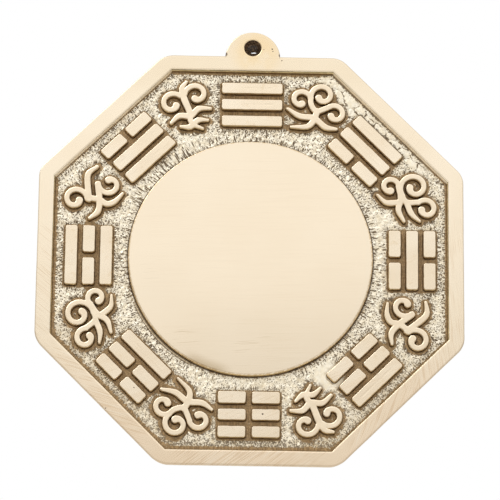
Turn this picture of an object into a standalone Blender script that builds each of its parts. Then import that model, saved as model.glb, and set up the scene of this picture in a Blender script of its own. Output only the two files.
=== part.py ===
"""Bagua mirror: an eight-sided brass plaque that hangs on a wall.

Units are metres and +Z is up. The front of the plaque looks towards -Y, and its flat
back lies in the plane y = 0. The origin is the centre of the hanging hole, on the back.

Every piece is drawn flat, as it would lie face up on a bench: x to the right, y towards
the top of the plaque and z from its back (zero) to its front. The empty plaque_centre
stands that bench drawing upright.
"""

from math import asin, cos, pi, radians, sin, tan

import bmesh
import bpy
from mathutils import Vector

# The plaque as a whole
ACROSS_FLATS = 0.125            # between two opposite sides of the outline
PLAQUE_THICKNESS = 0.0045       # back face to the polished faces
RELIEF = 0.0015                 # polished faces above the sunk ground
SEAT_GAP = 0.0003               # clearance of every piece to the one that carries it
CUT_OVERRUN = 0.001             # how far a cutter runs past the face that it opens

# The rim
RIM_FACE_WIDTH = 0.00445        # polished face, outer edge to inner edge
RIM_DRAFT = radians(17)         # lean of the inner wall down to the ground
RIM_WALL = 0.0034               # solid wall outside the rebate for the ground plate
RIM_CORNER_RADIUS = 0.0045      # outer corners, seen from the front
RIM_INNER_CORNER_RADIUS = 0.0004
RIM_FRONT_ROUND = 0.0005        # softened outer edge at the front
RIM_BACK_ROUND = 0.0003         # softened outer edge at the back
RIM_INNER_ROUND = 0.00015       # softened edge between the face and the inner wall

# The hanging lug and its hole
LUG_RADIUS = 0.0082
LUG_CENTRE_BELOW_EDGE = 0.0006  # centre of the lug's arc below the rim's top edge
HOLE_ABOVE_EDGE = 0.0026        # centre of the hole above the rim's top edge
HOLE_FRONT_RADIUS = 0.00255
HOLE_BACK_RADIUS = 0.0012
TONGUE_WIDTH = 0.010
TONGUE_CORNER_RADIUS = 0.0006
NOTCH_DEPTH = 0.0023            # how far the notch for the tongue cuts into the rim
LAP_THICKNESS = 0.0022          # height of the notch from the back face

# The mirror disc
DISC_DRAFT = radians(12)
DISC_EDGE_ROUND = 0.0002
DISC_SEAT_DEPTH = 0.0008        # depth of the round seat in the ground plate

# The trigram bars
BAR_HALF_SPAN = radians(10.65)  # half of a bar's length, seen from the middle of the plaque
BAR_WIDTH = 0.0034
BAR_PITCH = 0.0051              # from one line of a trigram to the next
RIM_TO_TRIGRAM = 0.00325        # clear ground between the rim and the outer bar
TRIGRAM_TO_DISC = 0.00374       # clear ground between the inner bar and the disc's seat
BAR_SPLIT = 0.0019              # opening between the halves of a broken line
BAR_DRAFT = radians(11)
BAR_CORNER_RADIUS = 0.0006
BAR_EDGE_ROUND = 0.0002
POCKET_DEPTH = 0.0005           # depth of each bar's pocket in the ground plate

# The cloud ornaments
CLOUD_TO_RIM = 0.00024          # from the outer corners of the square that it is drawn in
CLOUD_TO_BARS = 0.00213         # from the middle of that square's sides
PEG_LENGTH = 0.0012             # the two locating pegs under each cloud
PEG_RADIUS_SHARE = 0.032        # these and the shares below are of the cloud's square
STROKE_WIDTH_SHARE = 0.093      # raised stroke, where it is neither thick nor thin
STROKE_LEAN_SHARE = 0.011       # how far each side of a stroke leans out at its foot
CURL_CORE_SHARE = 0.078         # innermost radius of a curl
CURL_WIDTH_SHARE = 0.9          # width of a curl, as a share of the stroke's
CURL_DROP_SHARE = 0.35          # how much wider its inner end swells
CURL_DROP_START_SHARE = 0.75    # where along the curl the swelling starts

# Steps of the faceted curves
CORNER_STEPS = 4
BAR_CORNER_STEPS = 2
DISC_STEPS = 64
LUG_STEPS = 28
HOLE_STEPS = 20
PEG_STEPS = 8
CURL_STATIONS = 15
BOW_STATIONS_PER_SPAN = 3
STROKE_END_ANGLES = (radians(75), radians(38))

# Worked out from the sizes above
SIDES = 8
APOTHEM = ACROSS_FLATS / 2
GROUND_HEIGHT = PLAQUE_THICKNESS - RELIEF
SEATED_HEIGHT = GROUND_HEIGHT + SEAT_GAP
HOLE_DROP = APOTHEM + HOLE_ABOVE_EDGE
LIP_REACH = APOTHEM - RIM_FACE_WIDTH - (PLAQUE_THICKNESS - SEATED_HEIGHT) * tan(RIM_DRAFT)
BAR_FOOT_HEIGHT = GROUND_HEIGHT - POCKET_DEPTH + SEAT_GAP
BAR_LEAN = (PLAQUE_THICKNESS - BAR_FOOT_HEIGHT) * tan(BAR_DRAFT)
TRIGRAM_DEPTH = 2 * BAR_PITCH + BAR_WIDTH + 2 * BAR_LEAN
TRIGRAM_DISTANCE = LIP_REACH - RIM_TO_TRIGRAM - TRIGRAM_DEPTH / 2
DISC_SEAT_RADIUS = TRIGRAM_DISTANCE - TRIGRAM_DEPTH / 2 - TRIGRAM_TO_DISC
DISC_FOOT_HEIGHT = GROUND_HEIGHT - DISC_SEAT_DEPTH + SEAT_GAP
DISC_FOOT_RADIUS = DISC_SEAT_RADIUS - SEAT_GAP
DISC_RADIUS = DISC_FOOT_RADIUS - (PLAQUE_THICKNESS - DISC_FOOT_HEIGHT) * tan(DISC_DRAFT)
BAR_LENGTH = 2 * TRIGRAM_DISTANCE * tan(BAR_HALF_SPAN)

# The square that a cloud is drawn in, as large as its clearances to the rim and the bars allow
CORNER_SLOPE = tan(pi / SIDES)
CLOUD_REACH = LIP_REACH / cos(pi / SIDES) - CLOUD_TO_RIM
CLOUD_SIDE_LOSS = (BAR_LENGTH / 2 + BAR_LEAN) / cos(pi / SIDES) + CLOUD_TO_BARS
CLOUD_HALF = (CLOUD_REACH * CORNER_SLOPE - CLOUD_SIDE_LOSS) / (1 + CORNER_SLOPE * (1 + CORNER_SLOPE))
CLOUD_SIZE = 2 * CLOUD_HALF
CLOUD_DISTANCE = CLOUD_REACH - CLOUD_HALF * (1 + CORNER_SLOPE)
STROKE_LEAN = CLOUD_SIZE * STROKE_LEAN_SHARE
PEG_RADIUS = CLOUD_SIZE * PEG_RADIUS_SHARE

# Lines of each trigram from the rim inwards, True for a whole line; direction in degrees
TRIGRAMS = (
    ("top", 90, (True, True, True)),
    ("upper_right", 45, (True, True, False)),
    ("right", 0, (False, True, False)),
    ("lower_right", -45, (True, False, False)),
    ("bottom", -90, (False, False, False)),
    ("lower_left", -135, (False, False, True)),
    ("left", 180, (True, False, True)),
    ("upper_left", 135, (False, True, True)),
)
LINE_NAMES = ("outer", "middle", "inner")

# Places of the clouds: name, direction in degrees, layout, hand (-1 mirrors the layout)
CLOUDS = (
    ("cloud_top_right", 67.5, "crown", 1),
    ("cloud_right_upper", 22.5, "stream", 1),
    ("cloud_right_lower", -22.5, "pair", 1),
    ("cloud_bottom_right", -67.5, "stem", 1),
    ("cloud_bottom_left", -112.5, "crown", -1),
    ("cloud_left_lower", -157.5, "stream", -1),
    ("cloud_left_upper", 157.5, "pair", -1),
    ("cloud_top_left", 112.5, "stem", -1),
)

# Strokes of each cloud layout, in shares of the cloud's square, its centre at zero and y
# towards the rim. A curl is its centre, outer radius, starting direction and turns; a bow
# is the points that it passes through and its width at each, in shares of a stroke.
CURL_SHARES = {
    "crown": (
        (0.00, 0.265, 0.205, 215, -0.95),
        (-0.320, 0.05, 0.170, 40, 0.75),
        (0.325, 0.04, 0.165, 140, -0.75),
    ),
    "stream": (
        (-0.130, 0.170, 0.255, 285, -1.10),
        (0.300, 0.205, 0.175, 205, -0.85),
        (-0.300, -0.215, 0.155, 60, 0.80),
    ),
    "pair": (
        (0.235, 0.245, 0.205, 245, -0.95),
        (-0.240, -0.190, 0.190, 70, -0.80),
    ),
    "stem": (
        (-0.225, 0.150, 0.200, 25, 0.80),
        (0.225, 0.150, 0.200, 155, -0.80),
    ),
}
BOW_SHARES = {
    "crown": (
        (((-0.18, 0.15), (-0.11, 0.03), (0.02, -0.03), (0.19, 0.13)), (0.9, 1.0, 1.0, 0.9)),
        (((-0.46, -0.19), (-0.22, -0.23), (0.02, -0.17), (0.26, -0.24), (0.45, -0.20)),
         (0.5, 1.0, 1.1, 1.0, 0.5)),
        (((0.02, -0.03), (0.03, -0.22), (-0.04, -0.36), (-0.28, -0.47)), (1.1, 1.1, 0.9, 0.4)),
    ),
    "stream": (
        (((-0.10, -0.09), (0.06, -0.06), (0.136, 0.128)), (1.0, 1.0, 0.9)),
        (((0.06, -0.06), (0.28, -0.06), (0.46, 0.02)), (1.0, 1.0, 0.4)),
        (((-0.24, -0.08), (-0.04, -0.12), (0.14, -0.24), (0.36, -0.23)), (1.0, 1.1, 1.0, 0.5)),
        (((0.02, -0.15), (-0.02, -0.30), (-0.08, -0.40), (-0.24, -0.47)), (0.9, 1.0, 0.8, 0.4)),
    ),
    "pair": (
        (((-0.45, 0.13), (-0.27, 0.22), (-0.08, 0.15), (0.14, 0.02)), (0.5, 1.0, 1.1, 1.0)),
        (((-0.16, 0.00), (0.08, -0.14), (0.28, -0.20), (0.45, -0.12)), (1.0, 1.1, 1.0, 0.5)),
        (((0.12, 0.03), (0.08, -0.14), (0.10, -0.28), (0.01, -0.39), (-0.18, -0.46)),
         (1.0, 1.0, 1.0, 0.9, 0.4)),
    ),
    "stem": (
        (((-0.15, 0.43), (-0.03, 0.34), (0.0, 0.14), (0.0, -0.10), (0.04, -0.30), (-0.10, -0.46)),
         (0.5, 1.0, 1.2, 1.1, 0.9, 0.4)),
        (((-0.36, -0.17), (-0.17, -0.10), (0.01, -0.17), (0.19, -0.10), (0.37, -0.17)),
         (0.5, 1.0, 1.1, 1.0, 0.5)),
        (((-0.24, -0.35), (-0.08, -0.29), (0.08, -0.35), (0.24, -0.29)), (0.4, 1.0, 1.0, 0.4)),
    ),
}
PEG_SHARES = {
    "crown": ((-0.22, -0.23), (0.26, -0.24)),
    "stream": ((-0.04, -0.12), (0.28, -0.06)),
    "pair": ((-0.27, 0.22), (0.28, -0.20)),
    "stem": ((0.0, 0.14), (0.0, -0.15)),
}

# Finishes: colour in linear values, roughness
GROUND_FINISH = ((0.43, 0.31, 0.18), 0.55)
RIM_FINISH = ((0.88, 0.74, 0.55), 0.32)
LUG_FINISH = ((0.91, 0.76, 0.52), 0.30)
MIRROR_FINISH = ((0.92, 0.79, 0.60), 0.16)
BAR_FINISH = ((0.90, 0.76, 0.56), 0.26)
CLOUD_FINISH = ((0.89, 0.74, 0.53), 0.28)
SMOOTH_ANGLE = radians(32)


def octagon(apothem, corner_radius):
    """Eight straight sides at the given distance from the centre, with rounded corners."""
    turn = 2 * pi / SIDES
    points = []
    for corner in range(SIDES):
        direction = (corner + 0.5) * turn
        reach = (apothem - corner_radius) / cos(turn / 2)
        for step in range(CORNER_STEPS + 1):
            angle = direction + turn * (step / CORNER_STEPS - 0.5)
            points.append((
                reach * cos(direction) + corner_radius * cos(angle),
                reach * sin(direction) + corner_radius * sin(angle),
            ))
    return points


def rectangle(length, width, corner_radius):
    """A rectangle about zero, its corners rounded."""
    points = []
    for corner, (side_x, side_y) in enumerate(((1, 1), (-1, 1), (-1, -1), (1, -1))):
        for step in range(BAR_CORNER_STEPS + 1):
            angle = (corner + step / BAR_CORNER_STEPS) * pi / 2
            points.append((
                side_x * (length / 2 - corner_radius) + corner_radius * cos(angle),
                side_y * (width / 2 - corner_radius) + corner_radius * sin(angle),
            ))
    return points


def circle(radius, steps):
    """Points round a circle about zero, anticlockwise from +x."""
    turn = 2 * pi / steps
    return [(radius * cos(turn * k), radius * sin(turn * k)) for k in range(steps)]


def lug_outline(radius):
    """The part of the lug's circle that stands above the rim, closed by a chord beside the rim."""
    floor = APOTHEM + SEAT_GAP
    centre_y = APOTHEM - LUG_CENTRE_BELOW_EDGE
    start = asin((floor - centre_y) / radius)
    span = pi - 2 * start
    return [
        (radius * cos(start + span * k / LUG_STEPS), centre_y + radius * sin(start + span * k / LUG_STEPS))
        for k in range(LUG_STEPS + 1)
    ]


def add_loops(bm, loops, closed):
    """Bridge outlines of equal point counts, each given as its points and height."""
    rings = []
    for points, height in loops:
        rings.append([bm.verts.new((x, y, height)) for x, y in points])
    pairs = list(zip(rings, rings[1:]))
    if closed:
        pairs.append((rings[-1], rings[0]))
    for lower, upper in pairs:
        count = len(lower)
        for k in range(count):
            bm.faces.new((lower[k], lower[(k + 1) % count], upper[(k + 1) % count], upper[k]))
    if not closed:
        bm.faces.new(list(reversed(rings[0])))
        bm.faces.new(rings[-1])


def finish_mesh(bm, name):
    """Turn every face outwards and hand the mesh over, its round stretches shaded smooth."""
    bmesh.ops.recalc_face_normals(bm, faces=bm.faces[:])
    mesh = bpy.data.meshes.new(name)
    bm.to_mesh(mesh)
    bm.free()
    mesh.shade_smooth()
    mesh.set_sharp_from_angle(angle=SMOOTH_ANGLE)
    return mesh


def lofted(name, loops, closed=False):
    """A solid through stacked outlines; closed joins the last outline to the first."""
    bm = bmesh.new()
    add_loops(bm, loops, closed)
    return finish_mesh(bm, name)


def place(name, mesh, parent, material=None):
    """An object for a mesh, under the given empty."""
    piece = bpy.data.objects.new(name, mesh)
    bpy.context.scene.collection.objects.link(piece)
    piece.parent = parent
    if material is not None:
        mesh.materials.append(material)
    return piece


def as_cutter(piece):
    """A helper solid that only shapes its neighbour."""
    piece.hide_render = True
    piece.display_type = "WIRE"
    return piece


def combine(piece, tool, operation):
    """A live Boolean of one solid with another."""
    modifier = piece.modifiers.new(operation.lower() + "_" + tool.name, "BOOLEAN")
    modifier.operation = operation
    modifier.solver = "EXACT"
    modifier.object = tool


def brass(name, finish):
    """A Principled metal in one of the plaque's finishes."""
    colour, roughness = finish
    material = bpy.data.materials.new(name)
    material.use_nodes = True
    shader = material.node_tree.nodes["Principled BSDF"]
    shader.inputs["Base Color"].default_value = (*colour, 1)
    shader.inputs["Metallic"].default_value = 1
    shader.inputs["Roughness"].default_value = roughness
    material.diffuse_color = (*colour, 1)
    return material


def empty(name, parent=None, location=(0, 0, 0), rotation=(0, 0, 0)):
    """A bare frame that other pieces hang from."""
    frame = bpy.data.objects.new(name, None)
    frame.empty_display_size = APOTHEM / SIDES
    frame.location = location
    frame.rotation_euler = rotation
    frame.parent = parent
    bpy.context.scene.collection.objects.link(frame)
    return frame


def make_rim(plaque):
    """The raised rim: its lip laps over the ground plate, which enters its rebate from behind."""
    face_inner = APOTHEM - RIM_FACE_WIDTH
    rebate = APOTHEM - RIM_WALL
    soft = 1 - cos(pi / 4)

    def outer(inset, height):
        return octagon(APOTHEM - inset, RIM_CORNER_RADIUS - inset), height

    def inner(apothem, height):
        return octagon(apothem, RIM_INNER_CORNER_RADIUS), height

    loops = [
        outer(RIM_BACK_ROUND, 0),
        outer(0, RIM_BACK_ROUND),
        outer(0, PLAQUE_THICKNESS - RIM_FRONT_ROUND),
        outer(RIM_FRONT_ROUND * soft, PLAQUE_THICKNESS - RIM_FRONT_ROUND * soft),
        outer(RIM_FRONT_ROUND, PLAQUE_THICKNESS),
        inner(face_inner + RIM_INNER_ROUND, PLAQUE_THICKNESS),
        inner(face_inner, PLAQUE_THICKNESS - RIM_INNER_ROUND),
        inner(LIP_REACH, SEATED_HEIGHT),
        inner(rebate, SEATED_HEIGHT),
        inner(rebate, 0),
    ]
    rim = place("rim", lofted("rim", loops, closed=True), plaque, brass("rim_brass", RIM_FINISH))

    notch_height = LAP_THICKNESS + CUT_OVERRUN
    notch_reach = NOTCH_DEPTH + CUT_OVERRUN
    notch_outline = rectangle(TONGUE_WIDTH + 2 * SEAT_GAP, notch_reach, TONGUE_CORNER_RADIUS)
    notch_loops = [(notch_outline, 0), (notch_outline, notch_height)]
    notch = as_cutter(place("rim_notch_cutter", lofted("rim_notch_cutter", notch_loops), plaque))
    notch.location = (0, APOTHEM - NOTCH_DEPTH + notch_reach / 2, -CUT_OVERRUN)
    combine(rim, notch, "DIFFERENCE")
    return rim


def make_lug(plaque):
    """The hanging lug: flush with the rim in front, held by a half-lap tongue behind."""
    soft = 1 - cos(pi / 4)
    loops = [
        (lug_outline(LUG_RADIUS - RIM_BACK_ROUND), 0),
        (lug_outline(LUG_RADIUS), RIM_BACK_ROUND),
        (lug_outline(LUG_RADIUS), PLAQUE_THICKNESS - RIM_FRONT_ROUND),
        (lug_outline(LUG_RADIUS - RIM_FRONT_ROUND * soft), PLAQUE_THICKNESS - RIM_FRONT_ROUND * soft),
        (lug_outline(LUG_RADIUS - RIM_FRONT_ROUND), PLAQUE_THICKNESS),
    ]
    lug = place("hanging_lug", lofted("hanging_lug", loops), plaque, brass("lug_brass", LUG_FINISH))

    tongue_low = APOTHEM - NOTCH_DEPTH + SEAT_GAP
    tongue_high = APOTHEM + SEAT_GAP + CUT_OVERRUN
    tongue_outline = rectangle(TONGUE_WIDTH, tongue_high - tongue_low, TONGUE_CORNER_RADIUS)
    tongue_loops = [(tongue_outline, RIM_BACK_ROUND), (tongue_outline, LAP_THICKNESS - SEAT_GAP)]
    tongue = as_cutter(place("lug_tongue", lofted("lug_tongue", tongue_loops), plaque))
    tongue.location = (0, (tongue_low + tongue_high) / 2, 0)
    combine(lug, tongue, "UNION")

    slope = (HOLE_FRONT_RADIUS - HOLE_BACK_RADIUS) / PLAQUE_THICKNESS
    hole_loops = [
        (circle(HOLE_BACK_RADIUS - slope * CUT_OVERRUN, HOLE_STEPS), -CUT_OVERRUN),
        (circle(HOLE_FRONT_RADIUS + slope * CUT_OVERRUN, HOLE_STEPS), PLAQUE_THICKNESS + CUT_OVERRUN),
    ]
    hole = as_cutter(place("hanging_hole_cutter", lofted("hanging_hole_cutter", hole_loops), plaque))
    hole.location = (0, HOLE_DROP, 0)
    combine(lug, hole, "DIFFERENCE")
    return lug


def make_mirror_disc(plaque):
    """The polished disc: a turned plate that drops into a round seat in the ground plate."""
    loops = [
        (circle(DISC_FOOT_RADIUS, DISC_STEPS), DISC_FOOT_HEIGHT),
        (circle(DISC_RADIUS, DISC_STEPS), PLAQUE_THICKNESS - DISC_EDGE_ROUND),
        (circle(DISC_RADIUS - DISC_EDGE_ROUND, DISC_STEPS), PLAQUE_THICKNESS),
    ]
    disc = place("mirror_disc", lofted("mirror_disc", loops), plaque, brass("mirror_brass", MIRROR_FINISH))

    seat_loops = [
        (circle(DISC_SEAT_RADIUS, DISC_STEPS), GROUND_HEIGHT - DISC_SEAT_DEPTH),
        (circle(DISC_SEAT_RADIUS, DISC_STEPS), GROUND_HEIGHT + CUT_OVERRUN),
    ]
    seat = as_cutter(place("disc_seat_cutter", lofted("disc_seat_cutter", seat_loops), plaque))
    return disc, seat


def bar_mesh(name, length):
    """One raised bar with leaning sides: polished face on top, foot inside its pocket."""
    def outline(outset):
        return rectangle(length + 2 * outset, BAR_WIDTH + 2 * outset, BAR_CORNER_RADIUS + outset)

    return lofted(name, [
        (outline(BAR_LEAN), BAR_FOOT_HEIGHT),
        (outline(0), PLAQUE_THICKNESS - BAR_EDGE_ROUND),
        (outline(-BAR_EDGE_ROUND), PLAQUE_THICKNESS),
    ])


def pocket_mesh(name, length):
    """The pocket that a bar of the given length sits in."""
    room = BAR_LEAN + SEAT_GAP
    outline = rectangle(length + 2 * room, BAR_WIDTH + 2 * room, BAR_CORNER_RADIUS + room)
    return lofted(name, [(outline, GROUND_HEIGHT - POCKET_DEPTH), (outline, GROUND_HEIGHT + CUT_OVERRUN)])


def make_trigrams(plaque):
    """Eight trigrams of three lines each, a broken line being two half bars end to end."""
    half_length = (BAR_LENGTH - BAR_SPLIT) / 2
    half_offset = (BAR_LENGTH + BAR_SPLIT) / 4
    material = brass("bar_brass", BAR_FINISH)
    cutters = []
    for place_name, direction, lines in TRIGRAMS:
        frame = empty("trigram_" + place_name, plaque, rotation=(0, 0, radians(direction) - pi / 2))
        for index, whole in enumerate(lines):
            distance = TRIGRAM_DISTANCE + (1 - index) * BAR_PITCH
            name = place_name + "_" + LINE_NAMES[index] + "_bar"
            pieces = [(name, BAR_LENGTH, 0)]
            if not whole:
                pieces = [
                    (name + "_left_half", half_length, -half_offset),
                    (name + "_right_half", half_length, half_offset),
                ]
            for piece_name, length, offset in pieces:
                bar = place(piece_name, bar_mesh(piece_name, length), frame, material)
                bar.location = (offset, distance, 0)
                cutter_name = piece_name + "_pocket"
                cutter = as_cutter(place(cutter_name, pocket_mesh(cutter_name, length), frame))
                cutter.location = (offset, distance, 0)
                cutters.append(cutter)
    return cutters


def curl_path(shares, hand):
    """A spiral that winds inwards at a steady rate; its inner end swells into a round drop."""
    centre_x, centre_y, radius, start, turns = shares
    points = []
    widths = []
    for k in range(CURL_STATIONS):
        along = k / (CURL_STATIONS - 1)
        angle = radians(start) + 2 * pi * turns * along
        reach = radius + (CURL_CORE_SHARE - radius) * along
        points.append(Vector((hand * (centre_x + reach * cos(angle)), centre_y + reach * sin(angle))))
        swell = max(0, along - CURL_DROP_START_SHARE) / (1 - CURL_DROP_START_SHARE)
        widths.append(CURL_WIDTH_SHARE + CURL_DROP_SHARE * swell)
    return points, widths


def bow_path(shares, hand):
    """A smooth curve through its points, each span a cubic set by its neighbours."""
    knots, knot_widths = shares
    knots = [Vector((hand * x, y)) for x, y in knots]
    ends = [2 * knots[0] - knots[1], *knots, 2 * knots[-1] - knots[-2]]
    points = []
    widths = []
    for span in range(len(knots) - 1):
        before, here, there, after = ends[span:span + 4]
        for step in range(BOW_STATIONS_PER_SPAN):
            t = step / BOW_STATIONS_PER_SPAN
            points.append((
                2 * here + (there - before) * t
                + (2 * before - 5 * here + 4 * there - after) * t * t
                + (3 * here - before - 3 * there + after) * t * t * t
            ) / 2)
            widths.append(knot_widths[span] * (1 - t) + knot_widths[span + 1] * t)
    points.append(knots[-1])
    widths.append(knot_widths[-1])
    return points, widths


def stroke_mesh(name, points, widths):
    """A raised stroke along a path: flat on top, wider at its foot, round at both ends."""
    centres = [point * CLOUD_SIZE for point in points]
    halves = [width * CLOUD_SIZE * STROKE_WIDTH_SHARE / 2 for width in widths]
    headings = []
    for k in range(len(centres)):
        headings.append((centres[min(k + 1, len(centres) - 1)] - centres[max(k - 1, 0)]).normalized())
    stations = []
    for angle in STROKE_END_ANGLES:
        tip = centres[0] - headings[0] * halves[0] * sin(angle)
        stations.append((tip, headings[0], halves[0] * cos(angle)))
    stations.extend(zip(centres, headings, halves))
    for angle in reversed(STROKE_END_ANGLES):
        tip = centres[-1] + headings[-1] * halves[-1] * sin(angle)
        stations.append((tip, headings[-1], halves[-1] * cos(angle)))

    bm = bmesh.new()
    sections = []
    for centre, heading, half in stations:
        across = Vector((-heading.y, heading.x))
        section = []
        for side, height in (
            (half + STROKE_LEAN, SEATED_HEIGHT),
            (-half - STROKE_LEAN, SEATED_HEIGHT),
            (-half, PLAQUE_THICKNESS),
            (half, PLAQUE_THICKNESS),
        ):
            section.append(bm.verts.new((*(centre + across * side), height)))
        sections.append(section)
    for near, far in zip(sections, sections[1:]):
        for k in range(4):
            bm.faces.new((near[k], near[(k + 1) % 4], far[(k + 1) % 4], far[k]))
    bm.faces.new(sections[0])
    bm.faces.new(list(reversed(sections[-1])))
    return finish_mesh(bm, name)


def make_clouds(plaque):
    """Eight cloud ornaments of curls and bows, each one solid on two locating pegs."""
    material = brass("cloud_brass", CLOUD_FINISH)
    cutters = []
    for name, direction, layout, hand in CLOUDS:
        frame = empty(name + "_place", plaque, rotation=(0, 0, radians(direction) - pi / 2))
        paths = [curl_path(shares, hand) for shares in CURL_SHARES[layout]]
        paths += [bow_path(shares, hand) for shares in BOW_SHARES[layout]]
        cloud = None
        for index, (points, widths) in enumerate(paths):
            stroke_name = name if cloud is None else name + "_stroke_" + str(index + 1)
            stroke = place(stroke_name, stroke_mesh(stroke_name, points, widths), frame)
            stroke.location = (0, CLOUD_DISTANCE, 0)
            if cloud is None:
                cloud = stroke
                cloud.data.materials.append(material)
            else:
                combine(cloud, as_cutter(stroke), "UNION")
        for index, (share_x, share_y) in enumerate(PEG_SHARES[layout]):
            spot = (hand * share_x * CLOUD_SIZE, share_y * CLOUD_SIZE + CLOUD_DISTANCE, 0)
            foot = GROUND_HEIGHT - PEG_LENGTH
            top = GROUND_HEIGHT + RELIEF / 2
            peg_loops = [(circle(PEG_RADIUS, PEG_STEPS), foot), (circle(PEG_RADIUS, PEG_STEPS), top)]
            peg_name = name + "_peg_" + str(index + 1)
            peg = as_cutter(place(peg_name, lofted(peg_name, peg_loops), frame))
            peg.location = spot
            combine(cloud, peg, "UNION")
            hole_radius = PEG_RADIUS + SEAT_GAP
            hole_loops = [
                (circle(hole_radius, PEG_STEPS), foot - SEAT_GAP),
                (circle(hole_radius, PEG_STEPS), GROUND_HEIGHT + CUT_OVERRUN),
            ]
            hole_name = name + "_peg_hole_" + str(index + 1)
            hole = as_cutter(place(hole_name, lofted(hole_name, hole_loops), frame))
            hole.location = spot
            cutters.append(hole)
    return cutters


def make_ground_plate(plaque, cutters):
    """The sunk ground: a slab held by the rim's lip, with a seat for everything on it."""
    apothem = APOTHEM - RIM_WALL - SEAT_GAP
    loops = [
        (octagon(apothem, RIM_INNER_CORNER_RADIUS), 0),
        (octagon(apothem, RIM_INNER_CORNER_RADIUS), GROUND_HEIGHT),
    ]
    plate = place("ground_plate", lofted("ground_plate", loops), plaque, brass("ground_brass", GROUND_FINISH))
    for cutter in cutters:
        combine(plate, cutter, "DIFFERENCE")
    return plate


for old in list(bpy.data.objects):
    bpy.data.objects.remove(old, do_unlink=True)

centre = empty("plaque_centre", location=(0, 0, -HOLE_DROP), rotation=(pi / 2, 0, 0))
make_rim(centre)
make_lug(centre)
mirror_disc, disc_seat = make_mirror_disc(centre)
bar_pockets = make_trigrams(centre)
peg_holes = make_clouds(centre)
make_ground_plate(centre, [disc_seat, *bar_pockets, *peg_holes])
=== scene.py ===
from functools import reduce
from math import cos, pi, radians, sin, tan

import bpy
import numpy as np
from mathutils import Matrix, Vector


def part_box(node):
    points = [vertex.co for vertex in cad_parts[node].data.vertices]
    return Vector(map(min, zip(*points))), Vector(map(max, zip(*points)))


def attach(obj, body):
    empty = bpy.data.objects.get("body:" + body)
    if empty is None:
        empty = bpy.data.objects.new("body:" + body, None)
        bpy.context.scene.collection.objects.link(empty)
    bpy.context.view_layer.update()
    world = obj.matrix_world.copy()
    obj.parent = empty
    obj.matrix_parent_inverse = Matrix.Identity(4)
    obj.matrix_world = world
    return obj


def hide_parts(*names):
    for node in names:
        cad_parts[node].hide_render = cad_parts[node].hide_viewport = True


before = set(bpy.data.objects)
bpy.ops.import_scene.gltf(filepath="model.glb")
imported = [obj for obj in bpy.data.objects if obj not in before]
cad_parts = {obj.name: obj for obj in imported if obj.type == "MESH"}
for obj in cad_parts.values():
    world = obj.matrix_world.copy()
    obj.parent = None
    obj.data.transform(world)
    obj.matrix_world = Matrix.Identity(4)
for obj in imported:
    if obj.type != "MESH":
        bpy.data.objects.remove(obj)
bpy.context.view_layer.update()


# The rim. The real plaque is one brass casting, and its rim is the flat border that stays after
# the ground inside has been sunk. Its face was levelled and polished on a belt, which left fine
# slanting lines, and dark patina sits at the foot of its inner wall.
rim_low, rim_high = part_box("rim")
THICKNESS = -rim_low.y
HALF_WIDTH = rim_high.x
MIDDLE_Z = (rim_low.z + rim_high.z) / 2
RIM_FACE_WIDTH = 0.00445
# The rim's corners and sides, anticlockwise from the right side and the corner above it.
RIM_CORNER_RADII = np.array((5.8, 6.3, 7.5, 5.8, 7.2, 7.6, 7.3, 6.2)) / 1000
RIM_SIDE_SHIFTS = np.array((0, 0.10, -0.06, 0.28, -0.07, -0.03, 0, 0.10)) / 1000
RIM_INNER_CORNER_RADIUS = 0.0006
RIM_ROUND = 0.0003              # of its outer edges
RIM_SIDE_DRAFT = 0.0008         # how much smaller the rim is at its back, all round
RIM_WALL = 0.0034               # width of the wall behind the lip
RIM_WALL_ROUND = 0.00018
RIM_WALL_FOOT = 0.0026          # height from the back at which the wall ends inside the ground
RIM_INNER_ROUND = 0.00010
RIM_INNER_LEAN = 17             # degrees
RIM_FACE = THICKNESS - 0.000015   # the lug's face stands a hair prouder, where the two meet
RIM_BACK = 0.00002              # so does the lug's tongue at the back
LUG_TONGUE_END = 0.0602
LUG_TONGUE_HALF = 0.005
RIM_NICKS = ((-0.0138, -0.0625, 0.0005), (0.0186, -0.0625, 0.0006), (-0.0436, -0.0452, 0.0004))
NICK_DEPTH = 0.00012
LATTICE = 509                   # random values along each side of the square that grain repeats
SHARP_ANGLE = radians(38)       # edges that turn further than this aren't shaded smooth

GOLDEN_PATINA = (0.74, 0.58, 0.335, 1)
BROWN_PATINA = (0.30, 0.200, 0.092, 1)
# dark patina, also used for lines of painted shade on the rim's lip and round the disc's foot
DARK_PATINA_AND_SHADE = (0.075, 0.041, 0.018, 1)
# painted reflection: the olive-bright band on the rim's inner wall
OLIVE_REFLECTION = (0.86, 0.76, 0.50, 1)
RIM_BRASS = (0.962, 0.829, 0.638, 1), (0.985, 0.861, 0.677, 1)
RIM_TOP_TINT = (0.950, 0.938, 0.908, 1)
RIM_BOTTOM_TINT = (0.982, 0.938, 0.902, 1)
YELLOWED_BRASS = (0.925, 0.735, 0.470, 1)
BELT_LINE_TINT = (0.86, 0.80, 0.74, 1)
BELT_CREST = (0.985, 0.885, 0.720, 1)
# painted shade: a grey tint on the rounded outer edges of the rim and the lug
EDGE_SHADE_TINT = (0.70, 0.68, 0.66, 1)
FILED_BRASS = (0.76, 0.60, 0.39, 1), (0.90, 0.76, 0.56, 1)
SIDE_TARNISH = (0.60, 0.44, 0.25, 1)
BACK_BRASS = (0.74, 0.59, 0.395, 1), (0.88, 0.73, 0.525, 1)
BACK_TARNISH_TINT = (0.80, 0.71, 0.58, 1)
BACK_SPECK_TINT = (0.70, 0.60, 0.46, 1)
CAST_SKIN = (0.26, 0.175, 0.085, 1), (0.54, 0.40, 0.23, 1)


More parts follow.
